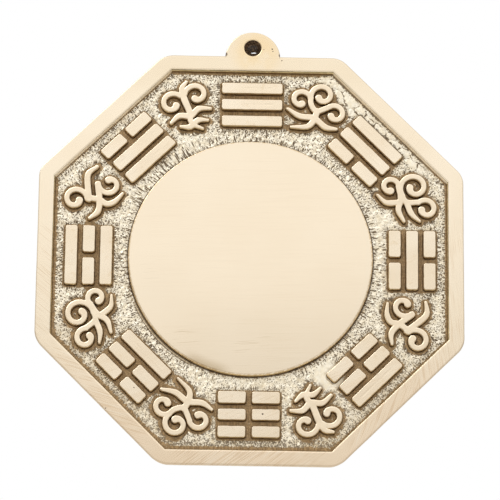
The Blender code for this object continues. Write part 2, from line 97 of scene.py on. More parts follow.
def stand(spot, height):
    """Points of the upright plaque. A spot is a complex number, across and up from the middle
    of the plaque, and height is measured forwards from its back."""
    spot, height = np.broadcast_arrays(spot, height)
    return np.stack((spot.real, -height, MIDDLE_Z + spot.imag), axis=-1)


def ease(value, low, high):
    """Zero up to low, one from high on, and 3t^2 - 2t^3 in between."""
    t = np.clip((value - low) / (high - low), 0, 1)
    return t * t * (3 - 2 * t)


def grain(spot, size, seed):
    """Smooth random heights from -1 to 1 over the plaque: seeded values on a square lattice of
    the given size, blended from one lattice point to the next by 3t^2 - 2t^3."""
    lattice = np.random.default_rng(seed).uniform(-1, 1, (LATTICE, LATTICE))
    column, row = np.floor(spot.real / size).astype(int), np.floor(spot.imag / size).astype(int)
    right = ease(spot.real / size - column, 0, 1)
    up = ease(spot.imag / size - row, 0, 1)
    corners = [lattice[(row + j) % LATTICE, (column + i) % LATTICE] for j in (0, 1) for i in (0, 1)]
    lower = corners[0] * (1 - right) + corners[1] * right
    upper = corners[2] * (1 - right) + corners[3] * right
    return lower * (1 - up) + upper * up


def hollows(spot, depth, size, seed):
    """Smooth random depths, from none to twice the given one: depth * (1 + grain)."""
    return depth * (1 + grain(spot, size, seed))


def arc(inset, height, radius, start, end, steps):
    """Rows of a profile on a circle: the inset and height of its middle, and its angles in
    degrees, where 0 points inwards over the plaque and 90 points to the front."""
    angle = np.radians(np.linspace(start, end, steps))
    return np.stack((inset + radius * np.cos(angle), height + radius * np.sin(angle)), axis=1)


def straight(inset, height):
    """Rows of a profile for insets and heights; either may be one number for all rows."""
    return np.stack(np.broadcast_arrays(inset, height), axis=1)


def rounded_loops(centres, radius, directions, span, arc_steps, side_steps):
    """Closed loops, one a row: an arc of the given span about each corner centre, and evenly
    spaced points on the straight line from each arc's end to the next one's start."""
    swing = directions[:, None] + span * (np.linspace(0, 1, arc_steps) - 0.5)
    arcs = centres[:, :, None] + radius[:, :, None] * np.exp(1j * swing)
    start, stop = arcs[:, :, -1:], np.roll(arcs[:, :, :1], -1, axis=1)
    sides = start + (stop - start) * np.linspace(0, 1, side_steps + 1)[1:-1]
    return np.concatenate((arcs, sides), axis=2).reshape(len(centres), -1)


def eight_sides(reach, corner_radius, arc_steps, side_steps):
    """Octagonal loops, with the reach of each side and the radius of each corner. A corner's
    centre lies a = reach - radius out along its first side's direction, and (b - a cos 45) /
    sin 45 beside it, where b is the same for its second side."""
    directions = np.arange(8) * pi / 4
    a, b = reach - corner_radius, np.roll(reach, -1, axis=1) - corner_radius
    centres = np.exp(1j * directions) * (a + 1j * (b - a * cos(pi / 4)) / sin(pi / 4))
    return rounded_loops(centres, corner_radius, directions + pi / 8, pi / 4, arc_steps, side_steps)


def skin(name, rows, ring=False):
    """A closed skin over a grid of points. Each row is a loop; a ring joins its last row to its
    first, and otherwise a fan to the mean point of each end row closes it."""
    count, width = rows.shape[:2]
    points = rows.reshape(-1, 3)
    here = np.arange(count * width).reshape(count, width)
    if ring:
        here = np.vstack((here, here[:1]))
    beside = np.roll(here, -1, axis=1)
    quads = np.stack((here[:-1], beside[:-1], beside[1:], here[1:]), axis=-1).reshape(-1, 4)
    if ring:
        return fill(name, points, quads)
    points = np.vstack((points, rows[0].mean(axis=0), rows[-1].mean(axis=0)))
    first, last = np.full(width, len(points) - 2), np.full(width, len(points) - 1)
    fans = np.stack(((first, beside[0], here[0]), (last, here[-1], beside[-1])))
    return fill(name, points, quads, fans.transpose(0, 2, 1).reshape(-1, 3))


def new_object(name, data):
    """A new object in the scene, at the origin."""
    made = bpy.data.objects.new(name, data)
    bpy.context.scene.collection.objects.link(made)
    return made


def fill(name, points, quads, triangles=np.empty((0, 3), int)):
    """An object at the origin for points and faces, shaded smooth but for its sharp edges. The
    sign of its volume, a sixth of the sum of a . (b x c) over its triangles, turns it outwards."""
    halves = np.concatenate((quads[:, :3], quads[:, (0, 2, 3)], triangles))
    a, b, c = (points[halves[:, k]] for k in range(3))
    if np.einsum("ij,ij->", a, np.cross(b, c)) < 0:
        quads, triangles = quads[:, ::-1], triangles[:, ::-1]
    mesh = bpy.data.meshes.new(name)
    mesh.from_pydata(points.tolist(), [], quads.tolist() + triangles.tolist())
    mesh.shade_smooth()
    mesh.set_sharp_from_angle(angle=SHARP_ANGLE)
    return new_object(name, mesh)


class Shade:
    """One output socket in a tree of nodes. Sums written with it add Math nodes to the tree."""

    def __init__(self, tree, socket=None):
        self.tree = tree
        self.socket = socket

    def node(self, kind, settings, inputs, output=0):
        """Add a node: its type past "ShaderNode", its settings, the value or link of each socket."""
        made = self.tree.nodes.new("ShaderNode" + kind)
        for name, value in settings.items():
            setattr(made, name, value)
        for name, value in inputs.items():
            if isinstance(value, Shade):
                self.tree.links.new(value.socket, made.inputs[name])
            else:
                made.inputs[name].default_value = value
        return Shade(self.tree, made.outputs[output] if made.outputs else None)

    def math(self, operation, *values):
        return self.node("Math", {"operation": operation}, dict(enumerate(values)))

    def __add__(self, other):
        return self.math("ADD", self, other)

    __radd__ = __add__

    def __sub__(self, other):
        return self.math("SUBTRACT", self, other)

    def __rsub__(self, other):
        return self.math("SUBTRACT", other, self)

    def __mul__(self, other):
        return self.math("MULTIPLY", self, other)

    def most(self, other):
        return self.math("MAXIMUM", self, other)

    def least(self, other):
        return self.math("MINIMUM", self, other)

    def ease(self, low, high):
        """Zero up to low, one from high on, smooth in between; high may be the lower one."""
        inputs = {"Value": self, "From Min": min(low, high), "From Max": max(low, high)}
        risen = self.node("MapRange", {"interpolation_type": "SMOOTHSTEP"}, inputs)
        return risen if low < high else 1 - risen

    def pick(self, first, second, blend="MIX"):
        """A mix of two colours, with this value as the share of the second."""
        settings = {"data_type": "RGBA", "blend_type": blend}
        return self.node("Mix", settings, {0: self, 6: first, 7: second}, 2)

    def tint(self, first, second):
        """Two colours multiplied, with this value as the share of the second."""
        return self.pick(first, second, "MULTIPLY")


def start_finish(name):
    """A new material, and the place on the piece, in metres, that its patterns read."""
    material = bpy.data.materials.new(name)
    material.use_nodes = True
    material.node_tree.nodes.clear()
    return material, Shade(material.node_tree).node("TexCoord", {}, {}, 3)


def noise(place, size, detail=2.0, roughness=0.5):
    """Blender's noise from 0 to 1, its features about the given size in metres."""
    inputs = {"Vector": place, "Scale": 1 / size, "Detail": detail, "Roughness": roughness}
    return place.node("TexNoise", {}, inputs)


def drawn_out(place, angle, scale):
    """The place in steps of the given scale along each axis, with the first axis turned up from
    level by an angle in degrees."""
    inputs = {"Vector": place, "Rotation": (0, -radians(angle), 0), "Scale": scale}
    return place.node("Mapping", {"vector_type": "TEXTURE"}, inputs)


def streaks(place, angle, length, width, detail=1.5):
    """Noise drawn out along lines at an angle up from level."""
    return noise(drawn_out(place, angle, (length, length, width)), 1.0, detail)


def distance(place, across, up):
    """Distance in metres from a spot on the front of the plaque, measured flat."""
    flat = place.node("VectorMath", {"operation": "MULTIPLY"}, {0: place, 1: (1, 0, 1)})
    inputs = {0: flat, 1: (across, 0, MIDDLE_Z + up)}
    return flat.node("VectorMath", {"operation": "DISTANCE"}, inputs, 1)


def patches(place, table):
    """The largest of some round masks: for each its spot, the distances from it at which it is
    zero and one, and its strength."""
    return reduce(Shade.most, [
        distance(place, across, up).ease(far, near) * strength for across, up, far, near, strength in table
    ])


def pinholes(place, holes):
    """One inside any of the small casting holes, each a spot and a radius."""
    return patches(place, [(across, up, size * 1.25, size * 0.6, 1) for across, up, size in holes])


def axis(place, index):
    """One coordinate of a place: 0 across, 1 depth from the back (negative in front), 2 up."""
    return place.node("SeparateXYZ", {}, {0: place}, index)


def finish_brass(place, colour, roughness, metal, height, reach=0.00005):
    """The last nodes of every finish: a Principled brass whose normal a height field bends."""
    inputs = {"Strength": 1.0, "Distance": reach, "Height": height}
    bump = place.node("Bump", {}, inputs)
    inputs = {"Base Color": colour, "Roughness": roughness, "Metallic": metal, "Normal": bump}
    shader = place.node("BsdfPrincipled", {}, inputs)
    place.node("OutputMaterial", {}, {"Surface": shader})


side = np.linspace(0.0010, 0.0034, 5)
face_end = RIM_FACE_WIDTH - RIM_INNER_ROUND
face = np.linspace(RIM_ROUND, face_end, 12)[1:-1]
lip = arc(face_end, RIM_FACE - RIM_INNER_ROUND, RIM_INNER_ROUND, 90, RIM_INNER_LEAN, 4)
lip_inset, lip_height = lip[-1]
wall = np.linspace(lip_height, RIM_WALL_FOOT, 7)[1:]
rim_profile = np.vstack((
    arc(RIM_SIDE_DRAFT + RIM_ROUND, RIM_ROUND + RIM_BACK, RIM_ROUND, 270, 190, 4),
    straight(RIM_SIDE_DRAFT * (1 - side / (THICKNESS - RIM_ROUND)), side),
    arc(RIM_ROUND, RIM_FACE - RIM_ROUND, RIM_ROUND, 180, 90, 6),
    straight(face, RIM_FACE),
    lip,
    straight(lip_inset + (lip_height - wall) * tan(radians(RIM_INNER_LEAN)), wall),
    straight(RIM_WALL, (RIM_WALL_FOOT, 0.0012, 0.0002)),
    straight(RIM_WALL - RIM_WALL_ROUND, (RIM_BACK,)),
))
rim_inset, rim_height = rim_profile.T
over_face = np.clip(rim_inset / RIM_FACE_WIDTH, 0, 1)[:, None]
rim_loops = eight_sides(
    HALF_WIDTH - rim_inset[:, None] + RIM_SIDE_SHIFTS * ease(over_face, 1.0, 0.2),
    RIM_CORNER_RADII * (1 - over_face) + RIM_INNER_CORNER_RADIUS * over_face,
    14, 60,
)
rim_wander = hollows(rim_loops, 0.00003, 0.006, 11) + hollows(rim_loops, 0.000012, 0.0012, 12)
for across, up, size in RIM_NICKS:
    near_nick = np.exp(-np.abs(rim_loops - complex(across, up)) ** 2 / size ** 2)
    rim_wander = rim_wander + NICK_DEPTH * near_nick * (rim_inset < RIM_ROUND)[:, None]
rim_loops = rim_loops * (1 - rim_wander / np.abs(rim_loops))
rim_dip = hollows(rim_loops, 0.000012, 0.009, 13) + hollows(rim_loops, 0.000003, 0.0022, 14)
rim_height = rim_height[:, None] - rim_dip * (rim_height > THICKNESS / 2)[:, None]
rim = skin("polished_rim", stand(rim_loops, rim_height), ring=True)
rim_insets = rim.data.attributes.new("inset", "FLOAT", "POINT")
rim_insets.data.foreach_set("value", np.repeat(rim_inset, rim_loops.shape[1]))

# Belt lines on the rim's face: degrees up from level, middle of the patch, its reach, strength.
RIM_STREAKS = (
    (38, 0.0, -0.0600, 0.030, 1.3),
    (-40, -0.0600, -0.0120, 0.026, 0.8),
    (-16, -0.0450, -0.0440, 0.026, 1.25),
    (98, 0.0570, -0.0320, 0.017, 1.0),
    (70, 0.0410, -0.0490, 0.020, 1.1),
    (96, 0.0610, -0.0060, 0.026, 0.6),
    (60, 0.0440, 0.0440, 0.022, 0.25),
)
RIM_PINHOLES = ((0.0531, 0.0387, 0.00022), (0.0087, 0.0612, 0.0002), (-0.0412, -0.0462, 0.0002))


def face_colour(place):
    """The polished face: clean brass, a little paler and redder from place to place, darker at
    the plaque's top and yellowed round the lug's foot."""
    even = noise(place, 0.016, 3.0).ease(0.3, 0.7).pick(*RIM_BRASS)
    clean = (axis(place, 2) - MIDDLE_Z).ease(0.046, 0.058).tint(even, RIM_TOP_TINT)
    yellowed = distance(place, 0.0012, 0.0640).ease(0.0095, 0.0030) * noise(place, 0.006).ease(0.20, 0.52)
    return yellowed.pick(clean, YELLOWED_BRASS)


def depth_below_face(place, shake):
    """How far in metres a place lies below the polished faces, shaken a little by noise."""
    return axis(place, 1) + THICKNESS + (noise(place, 0.0009) - 0.5) * shake


def wall_colour(place, base, foot):
    """Polished brass that turns, down a raised piece's side, into a dark line, a worn golden
    band and brown patina, which is full at the depth of the foot below the face."""
    depth = depth_below_face(place, 0.00024)
    line = depth.ease(foot * 0.62, foot * 0.74) * noise(place, 0.003).ease(0.30, 0.55)
    gold = depth.ease(0.00012, 0.00040).pick(base, GOLDEN_PATINA)
    brown = depth.ease(foot * 0.50, foot * 0.75).pick(gold, BROWN_PATINA)
    return (line * 0.7).pick(brown, DARK_PATINA_AND_SHADE)


def polished_share(place):
    """One on the polished face, zero from a quarter of a millimetre below it."""
    return (axis(place, 1) + THICKNESS).ease(0.00025, 0.00006)


def back_finish(place):
    """The back's colour, relief and roughness: satin belt lines in one direction on brass gone
    dull and brown in broad clouds, and cast skin in the few hollows that the belt didn't reach."""
    lines = streaks(place, 52, 0.011, 0.00024, 2.0)
    hollow = (noise(place, 0.009, 4.0, 0.6) + (noise(place, 0.0012) - 0.5) * 0.12).ease(0.625, 0.700)
    clouds = noise(place, 0.026, 4.0, 0.6).ease(0.36, 0.66)
    tarnished = (clouds * 0.65).tint(lines.ease(0.28, 0.72).pick(*BACK_BRASS), BACK_TARNISH_TINT)
    specks = noise(place, 0.0009, 3.0, 0.6).ease(0.40, 0.66)
    speckled = (specks * 0.30).tint(tarnished, BACK_SPECK_TINT)
    fine = noise(place, 0.0007, 3.0, 0.6)
    colour = (hollow * 0.8).pick(speckled, fine.ease(0.36, 0.64).pick(*CAST_SKIN))
    relief = lines * 0.12 + noise(place, 0.0080, 1.0) * 3.5 + (fine * 0.9 - 1.0) * hollow
    return colour, relief, hollow * 0.26 + noise(place, 0.024, 4.0, 0.6) * 0.10 + 0.24


rim_finish, place = start_finish("belt polished brass")
sideways = place.math("ABSOLUTE", axis(place, 0))
climb = axis(place, 2) - MIDDLE_Z
# Fine grinding lines, dark below one half and light above it, each set in its own patch.
lines = 0.5
for angle, across, up, reach, strength in RIM_STREAKS:
    here = distance(place, across, up).ease(reach, reach * 0.45) * strength
    broad = streaks(place, angle, 0.012, 0.00060)
    fine = streaks(place, angle, 0.007, 0.00024)
    lines = lines + ((broad - 0.5) * 0.45 + (fine - 0.5) * 1.10) * here
clean = climb.ease(-0.020, -0.052).tint(face_colour(place), RIM_BOTTOM_TINT)
clean = (lines.ease(0.50, 0.28) * 0.75).tint(clean, BELT_LINE_TINT)
clean = (lines.ease(0.58, 0.80) * 0.5).pick(clean, BELT_CREST)
# The inner wall: a dark line of painted shade under its edge, an olive-bright band of painted
# reflection, brown patina at its foot. On the upper slanted sides painted light makes it pale: the
# line is faint and the wall stays bright almost to its foot.
pale = ((sideways + climb) * cos(pi / 4) - sideways.most(climb)).ease(-0.0002, 0.0004)
depth = depth_below_face(place, 0.00020)
line = depth.ease(0.00010, 0.00022) * depth.ease(0.00050, 0.00036) * noise(place, 0.004).ease(0.25, 0.5)
olive = (depth.ease(0.00010, 0.00040) * (1 - pale * 0.85)).pick(clean, OLIVE_REFLECTION)
lined = (line * (0.8 - pale * 0.4)).pick(olive, DARK_PATINA_AND_SHADE)
walled = (depth - pale * 0.0004).ease(0.00085, 0.00125).pick(lined, BROWN_PATINA)
inset = place.node("Attribute", {"attribute_name": "inset"}, {}, 2)
on_side = inset.ease(0.0007, 0.0003)
filed = noise(drawn_out(place, 0, (0.009, 0.00026, 0.009)), 1.0)
tarnish = noise(place, 0.007, 4.0, 0.6).ease(0.38, 0.66)
side_colour = (tarnish * 0.45).pick(filed.ease(0.34, 0.66).pick(*FILED_BRASS), SIDE_TARNISH)
bared = on_side * (axis(place, 1) + THICKNESS).ease(0.0003, 0.0006)
coated = bared.pick(walled, side_colour)
# The rounded outer edge gets a grey tint of painted shade.
outlined = inset.ease(0.00045, 0.00015).tint(clean, EDGE_SHADE_TINT)
cleaned = (on_side * (1 - bared)).pick(coated, outlined)
behind = axis(place, 1).ease(-0.0022, -0.0012)
back_colour, back_relief, back_roughness = back_finish(place)
# A dark line round the lug's tongue, inside its outline grown a little, outside the same shrunk.
half, end = LUG_TONGUE_HALF, LUG_TONGUE_END
grown = sideways.ease(half + 0.00016, half + 0.00006) * climb.ease(end - 0.00014, end - 0.00004)
beyond = sideways.ease(half - 0.00016, half - 0.00006).most(climb.ease(end + 0.00018, end + 0.00008))
seamed = (grown * beyond * 0.85).pick(back_colour, DARK_PATINA_AND_SHADE)
holes = pinholes(place, RIM_PINHOLES)
colour = holes.pick((behind * (1 - on_side)).pick(cleaned, seamed), DARK_PATINA_AND_SHADE)
polish = polished_share(place)
roughness = 0.5 - polish * 0.36 - on_side * (1 - polish) * 0.18 + noise(place, 0.004) * 0.05
roughness = roughness * (1 - behind) + back_roughness * behind
height = (lines - 0.5) * 0.05 * polish + back_relief * (1 - polish) * (1 - on_side * 0.85)
height = height + filed * on_side * (1 - polish) * 0.12 - holes
# The pale upper walls are also made less metallic, so that they take more light: part of the painted light
# there.
dull_metal_and_shade = pale * (1 - polish) * (1 - on_side) * 0.6
finish_brass(place, colour, roughness, 1 - holes.most(dull_metal_and_shade), height)
rim.data.materials.append(rim_finish)
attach(rim, "root")
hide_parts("rim")


# The hanging lug. On the real plaque it is cast in one with the rim, here it stands on the rim's
# top side with a half-lap tongue behind. Its hole narrows to a ragged throat and is coloured
# near-black inside, so that only a glint of the wall behind shows.
LUG_RADIUS = 0.0082
LUG_CENTRE = complex(0, 0.0619)
LUG_FRONT_END = 0.06185
LUG_TONGUE_CORNER = 0.0075      # how far from the hole the tongue's corners are cut off
LUG_LAP = 0.0022
LUG_EDGE_ROUND, LUG_JOINT_ROUND = 0.00024, 0.00002
LUG_COLUMNS = 192
HOLE_CENTRE = complex(0, 0.0651)
HOLE_FRONT_RADIUS = 0.00255
HOLE_BACK_RADIUS = 0.0012
HOLE_FRONT_ROUND = 0.00022
THROAT_CENTRE = complex(0.00055, -0.0004)
THROAT_HALF_WIDTH = 0.0010
THROAT_HALF_HEIGHT = 0.00013
LUG_STAIN = (0.62, 0.45, 0.25, 1)
HOLE_DARKS = (0.030, 0.017, 0.009, 1), (0.20, 0.125, 0.070, 1)
LUG_PINHOLES = (
    (-0.0017, 0.0600, 0.00026), (0.0015, 0.0611, 0.00022), (0.0012, 0.0614, 0.00016),
    (0.0058, 0.0648, 0.00024), (0.0060, 0.0641, 0.00018), (0.0086, 0.0613, 0.00024),
    (0.0082, 0.0608, 0.00018), (0.0033, 0.0646, 0.00014),
)
LUG_FOOT_MARKS = ((-0.0083, 0.0630, 0.0008), (0.0084, 0.0629, 0.0007))

lug_turn = np.exp(1j * (np.arange(LUG_COLUMNS) + 0.5) * 2 * pi / LUG_COLUMNS)
drop = (LUG_CENTRE - HOLE_CENTRE).imag
lug_circle = drop * lug_turn.imag + np.sqrt((drop * lug_turn.imag) ** 2 - drop ** 2 + LUG_RADIUS ** 2)
falling = np.minimum(lug_turn.imag, -1e-6)
lug_front = np.minimum(lug_circle, (LUG_FRONT_END - HOLE_CENTRE.imag) / falling)
tongue = np.minimum(
    (LUG_TONGUE_END - HOLE_CENTRE.imag) / falling,
    LUG_TONGUE_HALF / np.maximum(np.abs(lug_turn.real), 1e-6),
)
tongue = np.maximum(lug_front, np.minimum(tongue, LUG_TONGUE_CORNER))
lug_back = np.where(lug_turn.imag < -0.3, tongue, lug_front)
free_edge = ease(lug_turn.imag, -0.42, -0.30)
edge_round = LUG_JOINT_ROUND + LUG_EDGE_ROUND * free_edge
hole_edge = HOLE_FRONT_RADIUS + HOLE_FRONT_ROUND
lug_rows = [
    (lug_back - 0.0002, 0.0), (lug_back, 0.0002), (lug_back, LUG_LAP - 0.0002),
    (lug_front, LUG_LAP + 0.0002), (lug_front, 0.0031), (lug_front, 0.0039),
]
for angle in np.linspace(0, 1, 6) * pi / 2:
    lug_rows.append((lug_front - edge_round * (1 - cos(angle)), THICKNESS - edge_round * (1 - sin(angle))))
lug_rows.append((lug_front - edge_round - 0.00003, THICKNESS))
for share in np.linspace(0.04, 0.96, 18):
    lug_rows.append((lug_front - 0.0005 + (hole_edge - lug_front + 0.0005) * share, THICKNESS))
for angle in np.linspace(0, 1, 5) * pi / 2:
    lug_rows.append((
        HOLE_FRONT_RADIUS + HOLE_FRONT_ROUND * (1 - sin(angle)),
        THICKNESS - HOLE_FRONT_ROUND * (1 - cos(angle)),
    ))
lug_rows += [(0.00243, 0.0040), (0.00225, 0.0034), (0.00205, 0.0028), (0.0018, 0.0022)]
lug_reach = np.array([np.broadcast_to(reach, LUG_COLUMNS) for reach, height in lug_rows])
lug_height = np.array([np.broadcast_to(height, LUG_COLUMNS) for reach, height in lug_rows])
lug_spots = HOLE_CENTRE + lug_reach * lug_turn
throat = lug_turn.real * THROAT_HALF_WIDTH + 1j * lug_turn.imag * THROAT_HALF_HEIGHT
throat = HOLE_CENTRE + THROAT_CENTRE + throat
throat = throat + 0.00012 * grain(throat * 3, 0.0011, 21) * lug_turn
hole_back = HOLE_CENTRE + HOLE_BACK_RADIUS * lug_turn
for blend, height in ((0.75, 0.0015), (1.0, 0.0011), (0.5, 0.0007), (0.0, 0.0002), (-0.2, 0.0)):
    lug_spots = np.vstack((lug_spots, throat * blend + hole_back * (1 - blend)))
    lug_height = np.vstack((lug_height, np.full(LUG_COLUMNS, height)))
inside_hole = (lug_height > 0.0012) & (np.abs(lug_spots - HOLE_CENTRE) < HOLE_FRONT_RADIUS * 0.99)
ragged = 0.00009 * grain(lug_spots * 2 + lug_height * 1.7, 0.0013, 22) * inside_hole
lug_spots = lug_spots + ragged * lug_turn
at_outline = free_edge * (np.abs(lug_spots - LUG_CENTRE) > LUG_RADIUS * 0.9)
lug_spots = lug_spots - hollows(lug_spots, 0.00004, 0.004, 23) * at_outline * lug_turn
hanging_lug = skin("polished_lug", stand(lug_spots, lug_height), ring=True)

lug_finish, place = start_finish("polished lug brass")
# The lug's rounded outer edge gets the same grey tint of painted shade as the rim's.
from_edge = distance(place, 0.0, LUG_CENTRE.imag).ease(LUG_RADIUS - 0.00035, LUG_RADIUS - 0.00010)
clean = from_edge.tint(face_colour(place), EDGE_SHADE_TINT)
stained = noise(place, 0.0035, 3.0).ease(0.45, 0.75) * (axis(place, 1) + THICKNESS).ease(0.0001, 0.0006)
aged = (stained * 0.8).pick(clean, LUG_STAIN)
behind = axis(place, 1).ease(-0.0006, -0.0001)
back_colour, back_relief, back_roughness = back_finish(place)
from_hole = distance(place, 0.0, HOLE_CENTRE.imag)
# Inside the hole's outline the colour turns near-black.
in_hole = from_hole.ease(HOLE_FRONT_RADIUS + 0.00006, HOLE_FRONT_RADIUS - 0.00004)
holes = pinholes(place, LUG_PINHOLES)
marks = holes.most(pinholes(place, LUG_FOOT_MARKS)).most(in_hole)
hole_colour = noise(place, 0.0005, 3.0).ease(0.4, 0.65).pick(*HOLE_DARKS)
colour = marks.pick(behind.pick(aged, back_colour), hole_colour)
roughness = 0.15 + marks * 0.28 + behind * (back_roughness - 0.15) + noise(place, 0.004) * 0.05
height = noise(place, 0.0007, 3.0) * (0.02 + in_hole) + back_relief * behind - holes
finish_brass(place, colour, roughness, 1 - marks, height)
hanging_lug.data.materials.append(lug_finish)
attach(hanging_lug, "root")
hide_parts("hanging_lug")


# The mirror disc. It is the part of the casting that was polished furthest, quite flat, with a
# crisp edge. It shows only soft reflections, faint level hairlines from the cloth and a few
# scratches, with a soft painted shade along its lower-left edge. A thin dark line of painted
# shade runs round its foot, on the ground.
DISC_RADIUS = 0.0357071
DISC_DRAFT = radians(12)
DISC_EDGE_ROUND = 0.0002
DISC_FOOT = 0.0026
DISC_COLUMNS = 360
DISC_BRASS = (0.950, 0.818, 0.632, 1), (0.965, 0.838, 0.655, 1)
HAIRLINE_TINT = (0.93, 0.90, 0.86, 1)
SCRATCH_TINT = (0.74, 0.67, 0.58, 1)
SCRATCHED = (   # across, up, far, near, strength
    (-0.0185, -0.0252, 0.005, 0.003, 1),
    (-0.0310, -0.0060, 0.005, 0.002, 0.4),
    (0.0010, -0.0275, 0.007, 0.004, 1),
)
# painted shade: a soft darkening that hugs the disc's lower-left edge
EDGE_SHADE_PLACE = ((-0.0125, -0.0334, 0.0085, 0.0030, 0.7),)
DISC_SHADE_TINT = (0.62, 0.56, 0.45, 1)
DISC_STAIN_TINT = (0.72, 0.63, 0.49, 1)

below_edge = np.linspace(THICKNESS - DISC_EDGE_ROUND - DISC_FOOT, 0, 8)
disc_profile = np.vstack((
    straight(DISC_RADIUS + below_edge * tan(DISC_DRAFT), THICKNESS - DISC_EDGE_ROUND - below_edge),
    arc(DISC_RADIUS - DISC_EDGE_ROUND, THICKNESS - DISC_EDGE_ROUND, DISC_EDGE_ROUND, 15, 90, 5),
    straight(DISC_RADIUS * np.linspace(0.985, 0.04, 26), THICKNESS),
))
disc_turn = np.exp(1j * np.arange(DISC_COLUMNS) * 2 * pi / DISC_COLUMNS)
disc_spots = disc_profile[:, :1] * disc_turn
near_edge = ease(np.abs(disc_spots), DISC_RADIUS * 0.93, DISC_RADIUS)
disc_spots = disc_spots * (1 - hollows(disc_spots, 0.0012, 0.007, 31) * near_edge)
disc_height = disc_profile[:, 1:]
disc_height = disc_height - hollows(disc_spots, 0.000009, 0.014, 32) * (disc_height > 0.0044)
mirror_disc = skin("polished_disc", stand(disc_spots, disc_height))

disc_finish, place = start_finish("mirror polished brass")
hair = streaks(place, 2, 0.016, 0.00022, 2.0)
wide_hair = streaks(place, -3, 0.030, 0.0011, 2.0)
scratches = streaks(place, 5, 0.011, 0.00016, 0.0).ease(0.71, 0.78) * patches(place, SCRATCHED)
clean = noise(place, 0.022, 3.0).ease(0.3, 0.7).pick(*DISC_BRASS)
haired = (hair.ease(0.52, 0.30) * 0.22).tint(clean, HAIRLINE_TINT)
scratched = (scratches * 0.6).tint(haired, SCRATCH_TINT)
from_middle = distance(place, 0.0, 0.0)
# A soft painted shade along the lower-left edge.
edge_shade = from_middle.ease(DISC_RADIUS - 0.0036, DISC_RADIUS) * patches(place, EDGE_SHADE_PLACE)
dull_metal_and_shade = edge_shade.tint(scratched, DISC_SHADE_TINT)
stain = from_middle.ease(DISC_RADIUS - 0.0006, DISC_RADIUS - 0.0001) * noise(place, 0.0008).ease(0.34, 0.58)
colour = wall_colour(place, (stain * 0.9).tint(dull_metal_and_shade, DISC_STAIN_TINT), 0.0013)
polish = polished_share(place)
roughness = 0.45 - polish * 0.365 + hair * 0.03
height = (hair * 0.011 + wide_hair * 0.012 - scratches * 0.03) * polish
height = height + noise(place, 0.0006, 3.0) * (1 - polish)
finish_brass(place, colour, roughness, 1.0, height)
mirror_disc.data.materials.append(disc_finish)
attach(mirror_disc, "root")
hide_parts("mirror_disc")


# The trigram bars. Eight trigrams of three lines stand round the disc, whole or broken. Each bar
# is a low raised block, cast with leaning sides and soft corners. Its face was polished with the
# rim's, and brown patina fills the channels between the bars.
TRIGRAM_DISTANCE = 0.0473027
BAR_PITCH = 0.0051
BAR_WIDTH = 0.0034
BAR_LENGTH = 0.0177904
BAR_SPLIT = 0.0019
HALF_BAR_LENGTH = (BAR_LENGTH - BAR_SPLIT) / 2
HALF_BAR_OFFSET = (BAR_LENGTH + BAR_SPLIT) / 4
BAR_CORNER_RADIUS = 0.0006
BAR_EDGE_ROUND = 0.00010
BAR_LEAN = tan(radians(11))     # sideways for each unit down
BAR_FOOT = 0.0026
BAR_FACE_INSETS = np.array((0.16, 0.3, 0.6, 0.9, 1.2, 1.5)) / 1000 / BAR_WIDTH
BAR_BRASS = (0.945, 0.808, 0.615, 1), (0.978, 0.855, 0.675, 1)
BAR_LINE_TINT = (0.90, 0.84, 0.78, 1)
SMUDGE_TINT = (0.86, 0.76, 0.62, 1)
TRIGRAMS = (
    ("top", 90, (True, True, True)),
    ("upper_right", 45, (True, True, False)),
    ("right", 0, (False, True, False)),
    ("lower_right", -45, (True, False, False)),
    ("bottom", -90, (False, False, False)),
    ("lower_left", -135, (False, False, True)),
    ("left", 180, (True, False, True)),
    ("upper_left", 135, (False, True, True)),
)
WIDTH_SHARES = {"top": (0.93, 0.91, 0.89), "bottom": (0.93, 0.92, 1.0)}   # outer, middle, inner bar
BAR_PINHOLES = ((0.0040, -0.0472, 0.0003), (-0.0332, -0.0399, 0.0002), (0.0531, 0.0102, 0.0002))


def bar_rows(length, width, centre, turn, seed):
    """A bar's loops, from its foot up its side, over its rounded edge and in to its middle
    line: rounded rectangles whose corners and sides wander by a few hundredths."""
    below_edge = np.linspace(THICKNESS - BAR_EDGE_ROUND - BAR_FOOT, 0, 7)
    profile = np.vstack((
        straight(-below_edge * BAR_LEAN, THICKNESS - BAR_EDGE_ROUND - below_edge),
        arc(BAR_EDGE_ROUND, THICKNESS - BAR_EDGE_ROUND, BAR_EDGE_ROUND, 169, 90, 4),
        straight(BAR_FACE_INSETS * width, THICKNESS),
    ))
    inset, height = profile[:, 0], profile[:, 1:]
    radius = np.maximum(BAR_CORNER_RADIUS - inset, 0.00008)
    corner = length / 2 - inset - radius + 1j * (width / 2 - inset - radius)
    corners = np.stack((corner, -corner.conj(), -corner, corner.conj()), axis=1)
    loops = rounded_loops(corners, radius[:, None], (np.arange(4) + 0.5) * pi / 2, pi / 2, 6, 22)
    spots = centre + loops * turn
    wander = 0.00005 * grain(spots, 0.0016, seed) + 0.00003 * grain(spots, 0.0005, seed + 1)
    wander = wander * ease(inset, 0.0006, 0.0)[:, None]
    spots = spots + wander * (spots - centre) / np.abs(spots - centre)
    return stand(spots, height - hollows(spots, 0.000010, 0.0035, seed + 2) * (height > 0.0040))


